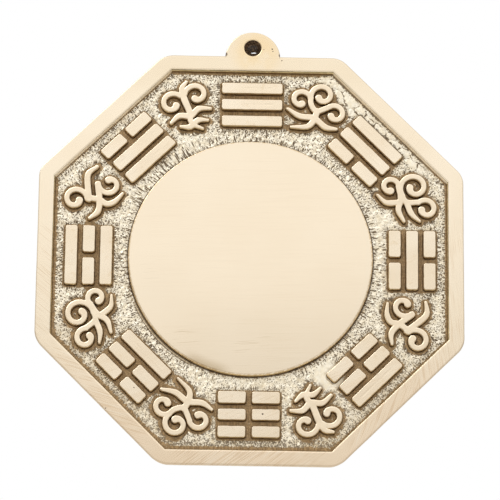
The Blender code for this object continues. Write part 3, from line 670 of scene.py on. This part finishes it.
bar_finish, place = start_finish("polished bar brass")
clean = noise(place, 0.013, 0.0).ease(0.35, 0.65).pick(*BAR_BRASS)
rubbed = streaks(place, 24, 0.008, 0.00045)
lower_half = (axis(place, 2) - MIDDLE_Z).ease(-0.010, -0.045)
lined = (rubbed.ease(0.50, 0.30) * (0.10 + lower_half * 0.25)).tint(clean, BAR_LINE_TINT)
smudged = (noise(place, 0.0021, 3.0).ease(0.56, 0.76) * 0.30).tint(lined, SMUDGE_TINT)
holes = pinholes(place, BAR_PINHOLES)
colour = holes.pick(wall_colour(place, smudged, 0.0013), DARK_PATINA_AND_SHADE)
polish = polished_share(place)
roughness = 0.52 - polish * 0.33 + noise(place, 0.003) * 0.06
height = (rubbed * 0.04 + noise(place, 0.0008) * 0.008) * polish + noise(place, 0.0006, 3.0) * (1 - polish)
finish_brass(place, colour, roughness, 1 - holes, height - holes)

bar_boxes = []
for number, (trigram, direction, whole_lines) in enumerate(TRIGRAMS):
    turn = np.exp(1j * radians(direction - 90))
    for line, whole in enumerate(whole_lines):
        out = TRIGRAM_DISTANCE + (1 - line) * BAR_PITCH
        name = trigram + "_" + ("outer", "middle", "inner")[line] + "_bar"
        width = BAR_WIDTH * WIDTH_SHARES.get(trigram, (1, 1, 1))[line]
        bars = [(name, BAR_LENGTH, 0)]
        if not whole:
            bars = [
                (name + "_left_half", HALF_BAR_LENGTH, -HALF_BAR_OFFSET),
                (name + "_right_half", HALF_BAR_LENGTH, HALF_BAR_OFFSET),
            ]
        for node, length, offset in bars:
            centre = turn * complex(offset, out)
            rows = bar_rows(length, width, centre, turn, 40 + number * 30 + line * 8 + (offset > 0) * 3)
            bar_boxes.append((centre, turn, length, width))
            piece = skin("polished_" + node, rows)
            piece.data.materials.append(bar_finish)
            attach(piece, "root")
            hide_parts(node)


# The cloud ornaments. They stand where the real plaque has a written character between each two
# trigrams: scroll clouds of the usual kind, in strokes as wide and as raised as those were. The
# strokes run into each other with small fillets, as cast ones do.
CLOUD_SIZE = 0.0172111
CLOUD_DISTANCE = 0.0500257
STROKE_WIDTH_SHARE = 0.093
CURL_CORE_SHARE = 0.078
CURL_WIDTH, CURL_SWELL, CURL_SWELL_START = 0.9, 0.35, 0.75
CLOUD_CELL = 0.000118
CLOUD_SHOULDER = 0.00012
CLOUD_EDGE_DROP = 0.00006
CLOUD_FOOT_REACH = 0.00033
CLOUD_FOOT = 0.0027
CLOUD_FLOOR = 0.0024
CLOUD_FILLET = 0.00007
CLOUD_BRASS = (0.925, 0.784, 0.590, 1), (0.955, 0.822, 0.632, 1)
MOTTLE_TINT = (0.84, 0.74, 0.58, 1)
# In shares of the cloud's square. A curl: its middle, radius, start in degrees and turns.
CURLS = {
    "crown": ((0.00, 0.265, 0.205, 215, -0.95), (-0.320, 0.05, 0.170, 40, 0.75),
              (0.325, 0.04, 0.165, 140, -0.75)),
    "stream": ((-0.130, 0.170, 0.255, 285, -1.10), (0.300, 0.205, 0.175, 205, -0.85),
               (-0.300, -0.215, 0.155, 60, 0.80)),
    "pair": ((0.235, 0.245, 0.205, 245, -0.95), (-0.240, -0.190, 0.190, 70, -0.80)),
    "stem": ((-0.225, 0.150, 0.200, 25, 0.80), (0.225, 0.150, 0.200, 155, -0.80)),
}
# A bow: the knots of its line, and its width at each in shares of the stroke's.
BOWS = {
    "crown": (
        (((-0.18, 0.15), (-0.11, 0.03), (0.02, -0.03), (0.19, 0.13)), (0.9, 1, 1, 0.9)),
        (((-0.46, -0.19), (-0.22, -0.23), (0.02, -0.17), (0.26, -0.24), (0.45, -0.20)),
         (0.5, 1, 1.1, 1, 0.5)),
        (((0.02, -0.03), (0.03, -0.22), (-0.04, -0.36), (-0.28, -0.47)), (1.1, 1.1, 0.9, 0.4)),
    ),
    "stream": (
        (((-0.10, -0.09), (0.06, -0.06), (0.136, 0.128)), (1, 1, 0.9)),
        (((0.06, -0.06), (0.28, -0.06), (0.46, 0.02)), (1, 1, 0.4)),
        (((-0.24, -0.08), (-0.04, -0.12), (0.14, -0.24), (0.36, -0.23)), (1, 1.1, 1, 0.5)),
        (((0.02, -0.15), (-0.02, -0.30), (-0.08, -0.40), (-0.24, -0.47)), (0.9, 1, 0.8, 0.4)),
    ),
    "pair": (
        (((-0.45, 0.13), (-0.27, 0.22), (-0.08, 0.15), (0.14, 0.02)), (0.5, 1, 1.1, 1)),
        (((-0.16, 0.00), (0.08, -0.14), (0.28, -0.20), (0.45, -0.12)), (1, 1.1, 1, 0.5)),
        (((0.12, 0.03), (0.08, -0.14), (0.10, -0.28), (0.01, -0.39), (-0.18, -0.46)), (1, 1, 1, 0.9, 0.4)),
    ),
    "stem": (
        (((-0.15, 0.43), (-0.03, 0.34), (0, 0.14), (0, -0.10), (0.04, -0.30), (-0.10, -0.46)),
         (0.5, 1, 1.2, 1.1, 0.9, 0.4)),
        (((-0.36, -0.17), (-0.17, -0.10), (0.01, -0.17), (0.19, -0.10), (0.37, -0.17)),
         (0.5, 1, 1.1, 1, 0.5)),
        (((-0.24, -0.35), (-0.08, -0.29), (0.08, -0.35), (0.24, -0.29)), (0.4, 1, 1, 0.4)),
    ),
}
CLOUDS = (
    ("cloud_top_right", 67.5, "crown", 1), ("cloud_right_upper", 22.5, "stream", 1),
    ("cloud_right_lower", -22.5, "pair", 1), ("cloud_bottom_right", -67.5, "stem", 1),
    ("cloud_bottom_left", -112.5, "crown", -1), ("cloud_left_lower", -157.5, "stream", -1),
    ("cloud_left_upper", 157.5, "pair", -1), ("cloud_top_left", 112.5, "stem", -1),
)


def curl_line(across, up, radius, start, turns):
    """A spiral in shares of the cloud's square: its radius falls evenly from the first to that
    of its core, and its inner end swells into a drop."""
    t = np.linspace(0, 1, 40)
    reach = radius + (CURL_CORE_SHARE - radius) * t
    line = complex(across, up) + reach * np.exp(1j * (radians(start) + 2 * pi * turns * t))
    return line, CURL_WIDTH + CURL_SWELL * ease(t, CURL_SWELL_START, 1.0)


def bow_line(knots, widths):
    """A Catmull-Rom curve through the knots: each stretch is half of 2b + (c - a) t +
    (2a - 5b + 4c - d) t^2 + (3b - a - 3c + d) t^3."""
    points = np.array([complex(*knot) for knot in knots])
    points = np.concatenate(([2 * points[0] - points[1]], points, [2 * points[-1] - points[-2]]))
    t = np.linspace(0, 1, 9)[:-1]
    line, breadth = [], []
    for k in range(len(knots) - 1):
        a, b, c, d = points[k:k + 4]
        line.append((2 * b + (c - a) * t + (2 * a - 5 * b + 4 * c - d) * t ** 2
                     + (3 * b - a - 3 * c + d) * t ** 3) / 2)
        breadth.append(widths[k] * (1 - t) + widths[k + 1] * t)
    return np.append(np.concatenate(line), points[-2]), np.append(np.concatenate(breadth), widths[-1])


def cloud_gap(spot, layout):
    """Distance of each spot, in metres in the cloud's own frame, from the strokes' edges, less
    than zero inside: -k log(sum of exp(-gap / k)) rounds the corners where strokes meet."""
    total = np.zeros(spot.shape)
    strokes = [curl_line(*curl) for curl in CURLS[layout]] + [bow_line(*bow) for bow in BOWS[layout]]
    for line, breadth in strokes:
        line, half = line * CLOUD_SIZE, breadth * STROKE_WIDTH_SHARE * CLOUD_SIZE / 2
        gap = np.full(spot.shape, 1.0)
        for a, b, half_a, half_b in zip(line[:-1], line[1:], half[:-1], half[1:]):
            t = np.clip(((spot - a) * np.conj(b - a)).real / abs(b - a) ** 2, 0, 1)
            gap = np.minimum(gap, np.abs(spot - a - (b - a) * t) - half_a - (half_b - half_a) * t)
        total += np.exp(-np.maximum(gap, -0.002) / CLOUD_FILLET)
    return -CLOUD_FILLET * np.log(np.maximum(total, 1e-280))


def four_corners(grid):
    """The values at the corners of each cell of a grid, going round the cell."""
    return grid[:-1, :-1], grid[:-1, 1:], grid[1:, 1:], grid[1:, :-1]


def cloud_mesh(name, layout, centre, turn, hand, seed):
    """Grid points within the strokes' feet, those near an edge moved onto it, raised by a wall
    and a rounded shoulder, and closed by side walls and a floor inside the ground."""
    count = int(CLOUD_SIZE * 1.04 / CLOUD_CELL)
    step = (np.arange(count) - (count - 1) / 2) * CLOUD_CELL
    spot = step[None, :] + 1j * step[:, None]
    gap = cloud_gap(spot, layout)
    rise, run = np.gradient(gap, CLOUD_CELL)
    slope = run + 1j * rise
    levels = np.array((-CLOUD_SHOULDER, 0.0, CLOUD_FOOT_REACH))
    level = levels[np.abs(gap[..., None] - levels).argmin(axis=2)]
    close = (np.abs(gap - level) < CLOUD_CELL * 0.5) & (np.abs(slope) > 0.5)
    spot = np.where(close, spot - (gap - level) * slope / np.maximum(np.abs(slope) ** 2, 0.25), spot)
    gap = np.where(close, level, gap)
    placed = centre + turn * (spot.real * hand + 1j * spot.imag)
    top = THICKNESS - CLOUD_EDGE_DROP * ease(gap, -CLOUD_SHOULDER * 1.6, 0.0)
    top = top - hollows(placed, 0.00002, 0.0019, seed)
    wall = top - (top - CLOUD_FOOT) * np.clip(gap / CLOUD_FOOT_REACH, 0, 1)
    kept = np.min(four_corners(gap), axis=0) < CLOUD_FOOT_REACH - 1e-6
    for _ in range(6):
        one = kept[:-1, :-1] & kept[1:, 1:] & ~kept[:-1, 1:] & ~kept[1:, :-1]
        two = ~kept[:-1, :-1] & ~kept[1:, 1:] & kept[:-1, 1:] & kept[1:, :-1]
        kept[:-1, 1:] |= one
        kept[:-1, :-1] |= two
    index = np.arange(count ** 2).reshape(count, count)
    cells = np.stack(four_corners(index), axis=-1)[kept]
    edges = np.concatenate([cells[:, [k, (k + 1) % 4]] for k in range(4)])
    key, back_key = edges @ (count ** 2, 1), edges @ (1, count ** 2)
    border = edges[~np.isin(key, back_key)]
    sides = np.concatenate((border[:, ::-1], border + count ** 2), axis=1)
    points = np.concatenate((stand(placed, wall), stand(placed, CLOUD_FLOOR))).reshape(-1, 3)
    used, faces = np.unique(np.concatenate((cells, cells[:, ::-1] + count ** 2, sides)), return_inverse=True)
    return fill(name, points[used], faces.reshape(-1, 4))


cloud_finish, place = start_finish("polished cloud brass")
clean = noise(place, 0.006, 3.0).ease(0.35, 0.65).pick(*CLOUD_BRASS)
mottled = (noise(place, 0.0011, 3.0).ease(0.60, 0.74) * 0.35).tint(clean, MOTTLE_TINT)
colour = wall_colour(place, mottled, 0.0012)
polish = (axis(place, 1) + THICKNESS).ease(0.0004, 0.0001)
roughness = 0.52 - polish * 0.24 + noise(place, 0.002) * 0.08
height = noise(place, 0.0012) * 0.03 * polish + noise(place, 0.0006, 3.0) * (1 - polish)
finish_brass(place, colour, roughness, 1.0, height)

cloud_places = []
for number, (node, direction, layout, hand) in enumerate(CLOUDS):
    turn = np.exp(1j * radians(direction - 90))
    centre = turn * 1j * CLOUD_DISTANCE
    cloud_places.append((centre, turn, layout, hand))
    piece = cloud_mesh("polished_" + node, layout, centre, turn, hand, 300 + number)
    piece.data.materials.append(cloud_finish)
    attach(piece, "root")
    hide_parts(node)


# The ground plate. Its sunk face was chased all over with a blunt punch, which left a pale
# stipple with dark pits, short furrows by the disc and ticks square to every edge. Brown patina
# lies in a moat round all that is raised. Its back was levelled on the belt, and has tarnished.
GROUND_HEIGHT = 0.0030
GROUND_REACH = 0.0588
GROUND_START = 0.0356
GROUND_COLUMNS = 1000
GROUND_ROWS = 84
UNDER_DISC = 0.0024             # height of the seat under the disc
DISC_FOOT_AT_GROUND = 0.03603
RIM_FOOT_AT_GROUND = 0.05760
RIM_MOATS = np.array((0.6, 0.4, 0.8, 0.3, 0.9, 0.7, 0.7, 0.4)) / 1000   # by side, from the right one
BAR_MOAT = 0.0004
CLOUD_MOAT = 0.00075
MOAT_DEPTH = 0.00012
BARE = -3.0                     # the least brownness
STIPPLE_DEPTH = 0.00009
FAR = 0.02                      # further than any raised piece is from a spot of the ground
WORN = (0.0234, -0.0352)        # a spot that was rubbed smooth
WORN_FAR, WORN_NEAR = 0.0052, 0.0028

STIPPLE_BRASS = (0.965, 0.87, 0.685, 1), (0.995, 0.925, 0.775, 1)
SOIL = (0.60, 0.48, 0.31, 1)
PIT_BLACK = (0.068, 0.042, 0.018, 1), (0.20, 0.132, 0.064, 1)
MOAT_BROWN = (0.245, 0.152, 0.066, 1), (0.46, 0.305, 0.148, 1)
# painted shade: a darker brown at the very foot of raised pieces
FOOT_SHADE_BROWN = (0.15, 0.092, 0.042, 1)
# painted highlight: a pale step line outside the disc's lower-left foot
STEP_HIGHLIGHT_BRASS = (0.62, 0.50, 0.33, 1)

# Rows of marks square to an edge, in millimetres: width, length, seed, share filled, and how far
# from the edge they end and begin to fade.
TICKS = ((0.58, 2.2, 3.0, 0.34, 2.1, 1.2), (0.48, 1.5, 7.4, 0.33, 1.7, 0.9))
FURROWS = ((0.58, 2.6, 5.3, 0.34, 3.2, 2.2), (0.46, 1.3, 1.7, 0.34, 1.4, 0.7))
LONG_FURROWS = ((0.60, 4.2, 9.1, 0.37, 4.4, 3.4),)
# Flecks left by the punch: degrees up from level, cell length and cell width.
FLECKS = ((25, 0.00105, 0.00056), (-42, 0.00094, 0.00060), (84, 0.00098, 0.00053), (60, 0.00054, 0.00050))
# Round places on the ground: across, up, far, near, strength.
COBBLES = ((0.0298, 0.0487, 0.0045, 0.0038, 1), (0.0238, 0.0553, 0.0042, 0.0036, 1))
DUSKY = (
    (-0.0237, -0.0404, 0.0056, 0.0034, 1),
    (0.0245, -0.0520, 0.0062, 0.0034, 0.9),
    (-0.0200, -0.0480, 0.0044, 0.0028, 1),
)


def meet(gap, place_along, moat_width):
    """Take one raised piece into the ground's fields: the distance to the nearest piece and to
    the next, the place along the nearest one's edge, and 1 - gap / moat width at its largest."""
    closer = gap < nearest
    second[:] = np.where(closer, nearest, np.minimum(second, gap))
    along[closer] = place_along[closer]
    nearest[closer] = gap[closer]
    brown[:] = np.maximum(brown, 1 - gap / moat_width)


def plate_strip(out, beside, eased):
    """One on the strip of flat cast plates at the upper right, for a spot given outwards and
    sideways, with the easing function for its kind."""
    return eased(out, 0.0536, 0.0541) * eased(beside, 0.0260, 0.0240) * eased(beside, -0.0200, -0.0140)


ground_angle = pi / 8 + np.arange(GROUND_COLUMNS) * 2 * pi / GROUND_COLUMNS
ground_turn = np.exp(1j * ground_angle)
octagon = GROUND_REACH / np.cos(np.mod(ground_angle + pi / 8, pi / 4) - pi / 8)
outwards = np.linspace(0, 1, GROUND_ROWS)[:, None]
spot = ((1 - outwards) * GROUND_START + outwards * octagon) * ground_turn
side_number = np.round(np.angle(spot) / (pi / 4)).astype(int) % 8
from_side = spot * np.exp(-1j * side_number * pi / 4)
from_rim, along = RIM_FOOT_AT_GROUND - from_side.real, from_side.imag
nearest, second = from_rim.copy(), np.full(spot.shape, FAR)
brown = 1 - from_rim / RIM_MOATS[side_number]
for centre, turn, length, width in bar_boxes:
    local = (spot - centre) / turn
    foot = (THICKNESS - GROUND_HEIGHT) * BAR_LEAN
    past = np.stack((np.abs(local.real) - length / 2 - foot, np.abs(local.imag) - width / 2 - foot))
    corner = past + BAR_CORNER_RADIUS
    gap = np.hypot(*np.maximum(corner, 0)) + np.minimum(corner.max(axis=0), 0) - BAR_CORNER_RADIUS
    meet(gap, np.where(past[0] > past[1], local.imag, local.real) + centre.real * 7, BAR_MOAT)
for centre, turn, layout, hand in cloud_places:
    local = (spot - centre) / turn
    here = np.maximum(np.abs(local.real), np.abs(local.imag)) < CLOUD_SIZE * 0.62
    gap = np.full(spot.shape, FAR)
    gap[here] = cloud_gap(local[here].real * hand + 1j * local[here].imag, layout) - CLOUD_FOOT_REACH * 0.8
    meet(gap, np.angle(local) * 0.004, CLOUD_MOAT)
brown = np.maximum(brown, 2 * ease(nearest + second, 0.0027, 0.0015) - 1)
moat = ease(brown, -0.3, 0.3)
slant = spot * np.exp(-0.25j * pi)
rubbed_flat = np.maximum(
    plate_strip(slant.real, slant.imag, ease),
    ease(np.abs(spot - complex(*WORN)), WORN_FAR, WORN_NEAR),
)
stipple = grain(spot, 0.00055, 401) + 0.6 * grain(spot * np.exp(0.6j), 0.00034, 402)
stipple = STIPPLE_DEPTH * stipple * (1 - 0.7 * rubbed_flat) * (1 - 0.75 * moat)
top_height = GROUND_HEIGHT + 0.00003 * grain(spot, 0.0032, 403) + stipple - MOAT_DEPTH * moat
top_height = np.where(from_rim < 0, GROUND_HEIGHT - 0.0002, top_height)

seat_reach = np.array((GROUND_START * 0.1, GROUND_START * 0.5, GROUND_START - 0.0001))
seat_spots = seat_reach[:, None] * ground_turn
back_shares = np.array((1.0, 1.0, 0.9975, 0.97, 0.9, 0.8, 0.68, 0.55, 0.42, 0.3, 0.18, 0.08))[:, None]
back_spots = back_shares * octagon * ground_turn
back_height = hollows(back_spots, 0.00010, 0.006, 404) * (back_shares < 0.96)
back_height[:2] = (0.0026,), (0.00016,)   # the plate's side, inside the rim
ground = skin("chased_ground_plate", stand(
    np.vstack((seat_spots, spot, back_spots)),
    np.vstack((np.full(seat_spots.shape, UNDER_DISC), top_height, back_height)),
))
fields = np.full((len(ground.data.vertices), 3), BARE)
fields[seat_spots.size:][:spot.size] = np.stack(
    (nearest * 1000, along * 1000, np.maximum(brown, BARE)), axis=-1,
).reshape(-1, 3)
chasing = ground.data.attributes.new("chasing", "FLOAT_VECTOR", "POINT")
chasing.data.foreach_set("vector", fields.ravel())


def dashes(vector, size):
    """One inside scattered spots, about the given share of a cell in radius, zero outside."""
    spots = vector.node("TexVoronoi", {}, {"Vector": vector, "Scale": 1.0})
    return (spots - size).ease(0.05, -0.05)


def across_edge(along, away, width, length, seed):
    """Coordinates for marks that run square to an edge, of a width along it and a length."""
    inputs = {0: along * (1 / width) + seed, 1: away * (1 / length), 2: seed}
    return along.node("CombineXYZ", {}, inputs)


def edge_marks(along, away, table):
    """The largest of some rows of marks square to an edge, which fade out away from it."""
    return reduce(Shade.most, [
        dashes(across_edge(along, away, width, length, seed), share) * away.ease(end, full)
        for width, length, seed, share, end, full in table
    ])


def bend(place, base, scale, detail, reach):
    """The base moved along each axis by noise of the given scale times the reach."""
    shift = place.node("TexNoise", {}, {"Vector": place, "Scale": scale, "Detail": detail}, 1)
    inputs = {0: shift, 1: (reach, reach, reach), 2: base}
    return place.node("VectorMath", {"operation": "MULTIPLY_ADD"}, inputs)


ground_finish, place = start_finish("chased and patinated brass")
around = place.node("Attribute", {"attribute_name": "chasing"}, {}, 1)
gap, run, brownness = (axis(around, index) for index in range(3))
sideways, climb = axis(place, 0), axis(place, 2) - MIDDLE_Z
out, beside = (sideways + climb) * cos(pi / 4), (climb - sideways) * cos(pi / 4)
disc_gap = (distance(place, 0.0, 0.0) - DISC_FOOT_AT_GROUND) * 1000
round_disc = place.math("ARCTAN2", climb, sideways) * 36.0
bent = bend(place, place, 1500.0, 1.0, 0.0004)
warped = bend(place, bent, 620.0, 3.0, 0.0018)
coarse = noise(place, 0.0016)
mottle = noise(place, 0.00035)
near = gap.ease(3.0, 0.5)
worn = distance(place, *WORN).ease(WORN_FAR, WORN_NEAR)
low_strip = climb.ease(-0.0538, -0.0550)
calm = distance(place, 0.0420, 0.0030).ease(0.016, 0.009)
under_disc_face = distance(place, 0.0020, -0.0400).ease(0.015, 0.008)
upper_left = distance(place, -0.0290, 0.0300).ease(0.019, 0.011)
lower_left = distance(place, -0.0340, -0.0280).ease(0.014, 0.008)

size = 0.225 + near * 0.045 + (coarse - 0.5) * 0.30 - worn * 0.4 + low_strip * 0.09 - calm * 0.085
size = size - under_disc_face * 0.030 - upper_left * 0.075 + lower_left * 0.03
flecks = reduce(Shade.most, [
    dashes(drawn_out(bent, angle, (length, length, width)), size) for angle, length, width in FLECKS
])
shaken = (noise(place, 0.0012, 1.0) - 0.5) * 0.7
ticked = edge_marks(run + shaken, gap, TICKS)
furrowed = edge_marks(round_disc + shaken, disc_gap, FURROWS)
furrowed = furrowed.most(edge_marks(round_disc + shaken * 0.4, disc_gap, LONG_FURROWS) * upper_left)
cobbled = plate_strip(out, beside, Shade.ease).most(patches(place, COBBLES)) * gap.ease(0.05, 0.20)
cells = drawn_out(warped, -45, (0.0046, 0.0046, 0.0028))
crack = place.node("TexVoronoi", {"feature": "DISTANCE_TO_EDGE"}, {"Vector": cells, "Scale": 1.0})
cracked = (crack + (coarse - 0.5) * 0.20).ease(0.060, 0.020) * noise(place, 0.0020, 1.0).ease(0.36, 0.50)
chips = (gap + (noise(place, 0.00055) - 0.5) * 2.4).ease(0.62, 0.50) * 0.9
chased = flecks.most(ticked * (1 - worn)).most(furrowed * (1 - worn.most(under_disc_face * 0.9)))
chased = (chased * (1 - cobbled * 0.85)).most(cracked.most(chips) * cobbled)

dusky = (out * -1).ease(0.0495, 0.0520) * beside.ease(-0.0260, -0.0235) * beside.ease(0.0260, 0.0235)
dusky = dusky.most((beside * -1).ease(0.0495, 0.0520) * out.ease(0.0180, 0.0080) * 0.8)
dusky = dusky.most(patches(place, DUSKY))
dusk = dusky * ((noise(place, 0.0010, 4.0, 0.6) - 0.5) * 4.0 + 0.30)
ragged = (noise(place, 0.00045, 3.0) - 0.5) * 1.7
moat_share = (brownness + low_strip * 0.45 + dusk + ragged).ease(-0.12, 0.18)
# Brown speckles within two millimetres of the disc, round its lower half only.
disc_lower_brown = disc_gap.ease(1.9, 0.2) * climb.ease(0.006, -0.018) * 0.58
disc_lower_brown = (disc_lower_brown + (noise(place, 0.00042, 3.0) - 0.5) * 2.6).ease(0.56, 0.86)
moat_share = moat_share.most(disc_lower_brown) * (1 - worn) * (1 - cobbled * 0.8)

high = noise(place, 0.0016).ease(0.35, 0.65).pick(*STIPPLE_BRASS)
soil = (mottle - near * 0.05).ease(0.46, 0.30) * 0.40 + (coarse - near * 0.08).ease(0.44, 0.28) * 0.25
soil = (soil + low_strip * 0.25 + dusky * 0.30) * (1 - worn.most(cobbled) * 0.8)
black = mottle.ease(0.35, 0.65).pick(*PIT_BLACK)
marked = (chased * (0.96 - climb.ease(-0.024, -0.048) * 0.13)).pick(soil.pick(high, SOIL), black)
hatched = noise(across_edge(run, gap, 0.36, 1.8, 2.0), 1.0, 1.0)
brown = (noise(place, 0.0006, 3.0) * 0.45 + hatched * 0.55).ease(0.36, 0.64).pick(*MOAT_BROWN)
# Within half a millimetre of each raised piece the brown patina is darkened by painted shade.
brown = ((gap + mottle * 0.3).ease(0.50, 0.15) * 0.4).pick(brown, FOOT_SHADE_BROWN)
moated = (moat_share * 0.96).pick(marked, brown)
# Round the disc's foot, a thin dark line of painted shade. At the lower left, a pale step of painted
# highlight and a dark groove line of painted shade; the ground's shape has neither.
grooved = distance(place, -0.0275, -0.0250).ease(0.0150, 0.0100)
stepped = (disc_gap.ease(0.62, 0.50) * grooved * 0.8).pick(moated, STEP_HIGHLIGHT_BRASS)
groove = disc_gap.ease(0.50, 0.60) * disc_gap.ease(0.90, 0.76) * grooved
lined = (disc_gap.ease(0.30, 0.12).most(groove) * 0.75).pick(stepped, DARK_PATINA_AND_SHADE)
behind = axis(place, 1).ease(-0.0026, -0.0022)
back_colour, back_relief, back_roughness = back_finish(place)
covered = moat_share.most(chased)
roughness = (covered * 0.26 + 0.34) * (1 - behind) + back_roughness * behind
relief = mottle * (0.45 - moat_share * 0.1) + coarse * 0.3 - chased * 0.5 + crack.ease(0.0, 0.30) * cobbled
height = relief * (1 - behind) + behind * back_relief
metal = (1 - covered * 0.6) * 0.75 * (1 - behind) + behind
finish_brass(place, behind.pick(lined, back_colour), roughness, metal, height, 0.00006)
ground.data.materials.append(ground_finish)
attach(ground, "root")
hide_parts("ground_plate")


# The studio. The plaque hangs clear of a plain pale floor, in a white room. What its polished
# faces show is the half of the room in front of them, which falls off towards the floor; the
# half behind them is the plain white background, for the camera and for reflections alike.
FLOOR_HEIGHT = -0.75
FLOOR_REACH = 4
FLOOR_GREY = (0.78, 0.77, 0.74, 1), (0.82, 0.81, 0.78, 1)
ROOM_WHITE = (1.0, 0.960, 0.905, 1), (1.0, 0.995, 0.985, 1)

corners = [(x * FLOOR_REACH, y * FLOOR_REACH, FLOOR_HEIGHT) for x, y in ((-1, -1), (1, -1), (1, 1), (-1, 1))]
floor_mesh = bpy.data.meshes.new("studio_floor")
floor_mesh.from_pydata(corners, [], [(0, 1, 2, 3)])
studio_floor = new_object("studio_floor", floor_mesh)
floor_finish, place = start_finish("pale studio floor")
cloudy = noise(place, 0.35, 3.0).pick(*FLOOR_GREY)
finish_brass(place, cloudy, 0.7, 0.0, noise(place, 0.01), 0.0001)
floor_mesh.materials.append(floor_finish)

world = bpy.data.worlds.new("white studio")
bpy.context.scene.world = world
world.use_nodes = True
world.node_tree.nodes.clear()
sky = Shade(world.node_tree)
direction = sky.node("TexCoord", {}, {}, 0)
front = axis(direction, 1).ease(0.25, -0.15)
height = axis(direction, 2) - axis(direction, 0).most(-0.12).least(0.12) * 0.06
climb = height.ease(-0.05, 0.15) * 0.13 + height.ease(0.244, 0.287) * 0.29 + height.ease(0.31, 0.75) * 0.22
level = (climb + 0.60) * front + (1 - front)
warm = height.ease(0.20, 0.31).pick(*ROOM_WHITE)
room = sky.node("Background", {}, {"Color": warm, "Strength": level})
white = sky.node("Background", {}, {"Color": (1, 1, 1, 1), "Strength": 1.0})
camera_ray, glossy_ray, transmission_ray = (
    sky.node("LightPath", {}, {}, name) for name in ("Is Camera Ray", "Is Glossy Ray", "Is Transmission Ray")
)
seen = camera_ray.most(transmission_ray).most(glossy_ray * (1 - front))
both = sky.node("MixShader", {}, {0: seen, 1: room, 2: white})
sky.node("OutputWorld", {}, {"Surface": both})

soft_box = bpy.data.lights.new("soft_box", "AREA")
soft_box.energy = 6.0
soft_box.shape = "RECTANGLE"
soft_box.size, soft_box.size_y = 0.9, 0.7
soft_box.color = (1.0, 0.985, 0.96)
lamp = new_object("soft_box", soft_box)
lamp_spot = Vector((-0.7, -0.9, 1.0))
aim = ((rim_low + rim_high) / 2 - lamp_spot).to_track_quat("-Z", "Y")
lamp.matrix_world = Matrix.Translation(lamp_spot) @ aim.to_matrix().to_4x4()


# The camera. A long lens a metre away stands a little below the plaque and looks up at it by
# some 17 degrees, as in the photograph.
CAMERA_FROM_MIDDLE = (-0.019263, -0.946378 - THICKNESS, -0.288197 + MIDDLE_Z)
CAMERA_RIGHT = (0.999667, -0.023470, 0.010759)
CAMERA_UP = (-0.017167, -0.292969, 0.955968)
CAMERA_BACK = (-0.019285, -0.955834, -0.293274)
lens = bpy.data.cameras.new("camera")
lens.sensor_width = 36
lens.lens = 243.9
lens.clip_start = 0.01
lens.clip_end = 50
camera = new_object("camera", lens)
columns = np.column_stack((CAMERA_RIGHT, CAMERA_UP, CAMERA_BACK, CAMERA_FROM_MIDDLE))
camera.matrix_world = Matrix(np.vstack((columns, (0, 0, 0, 1))).tolist())
bpy.context.scene.camera = camera
bpy.context.scene.view_settings.view_transform = "Standard"
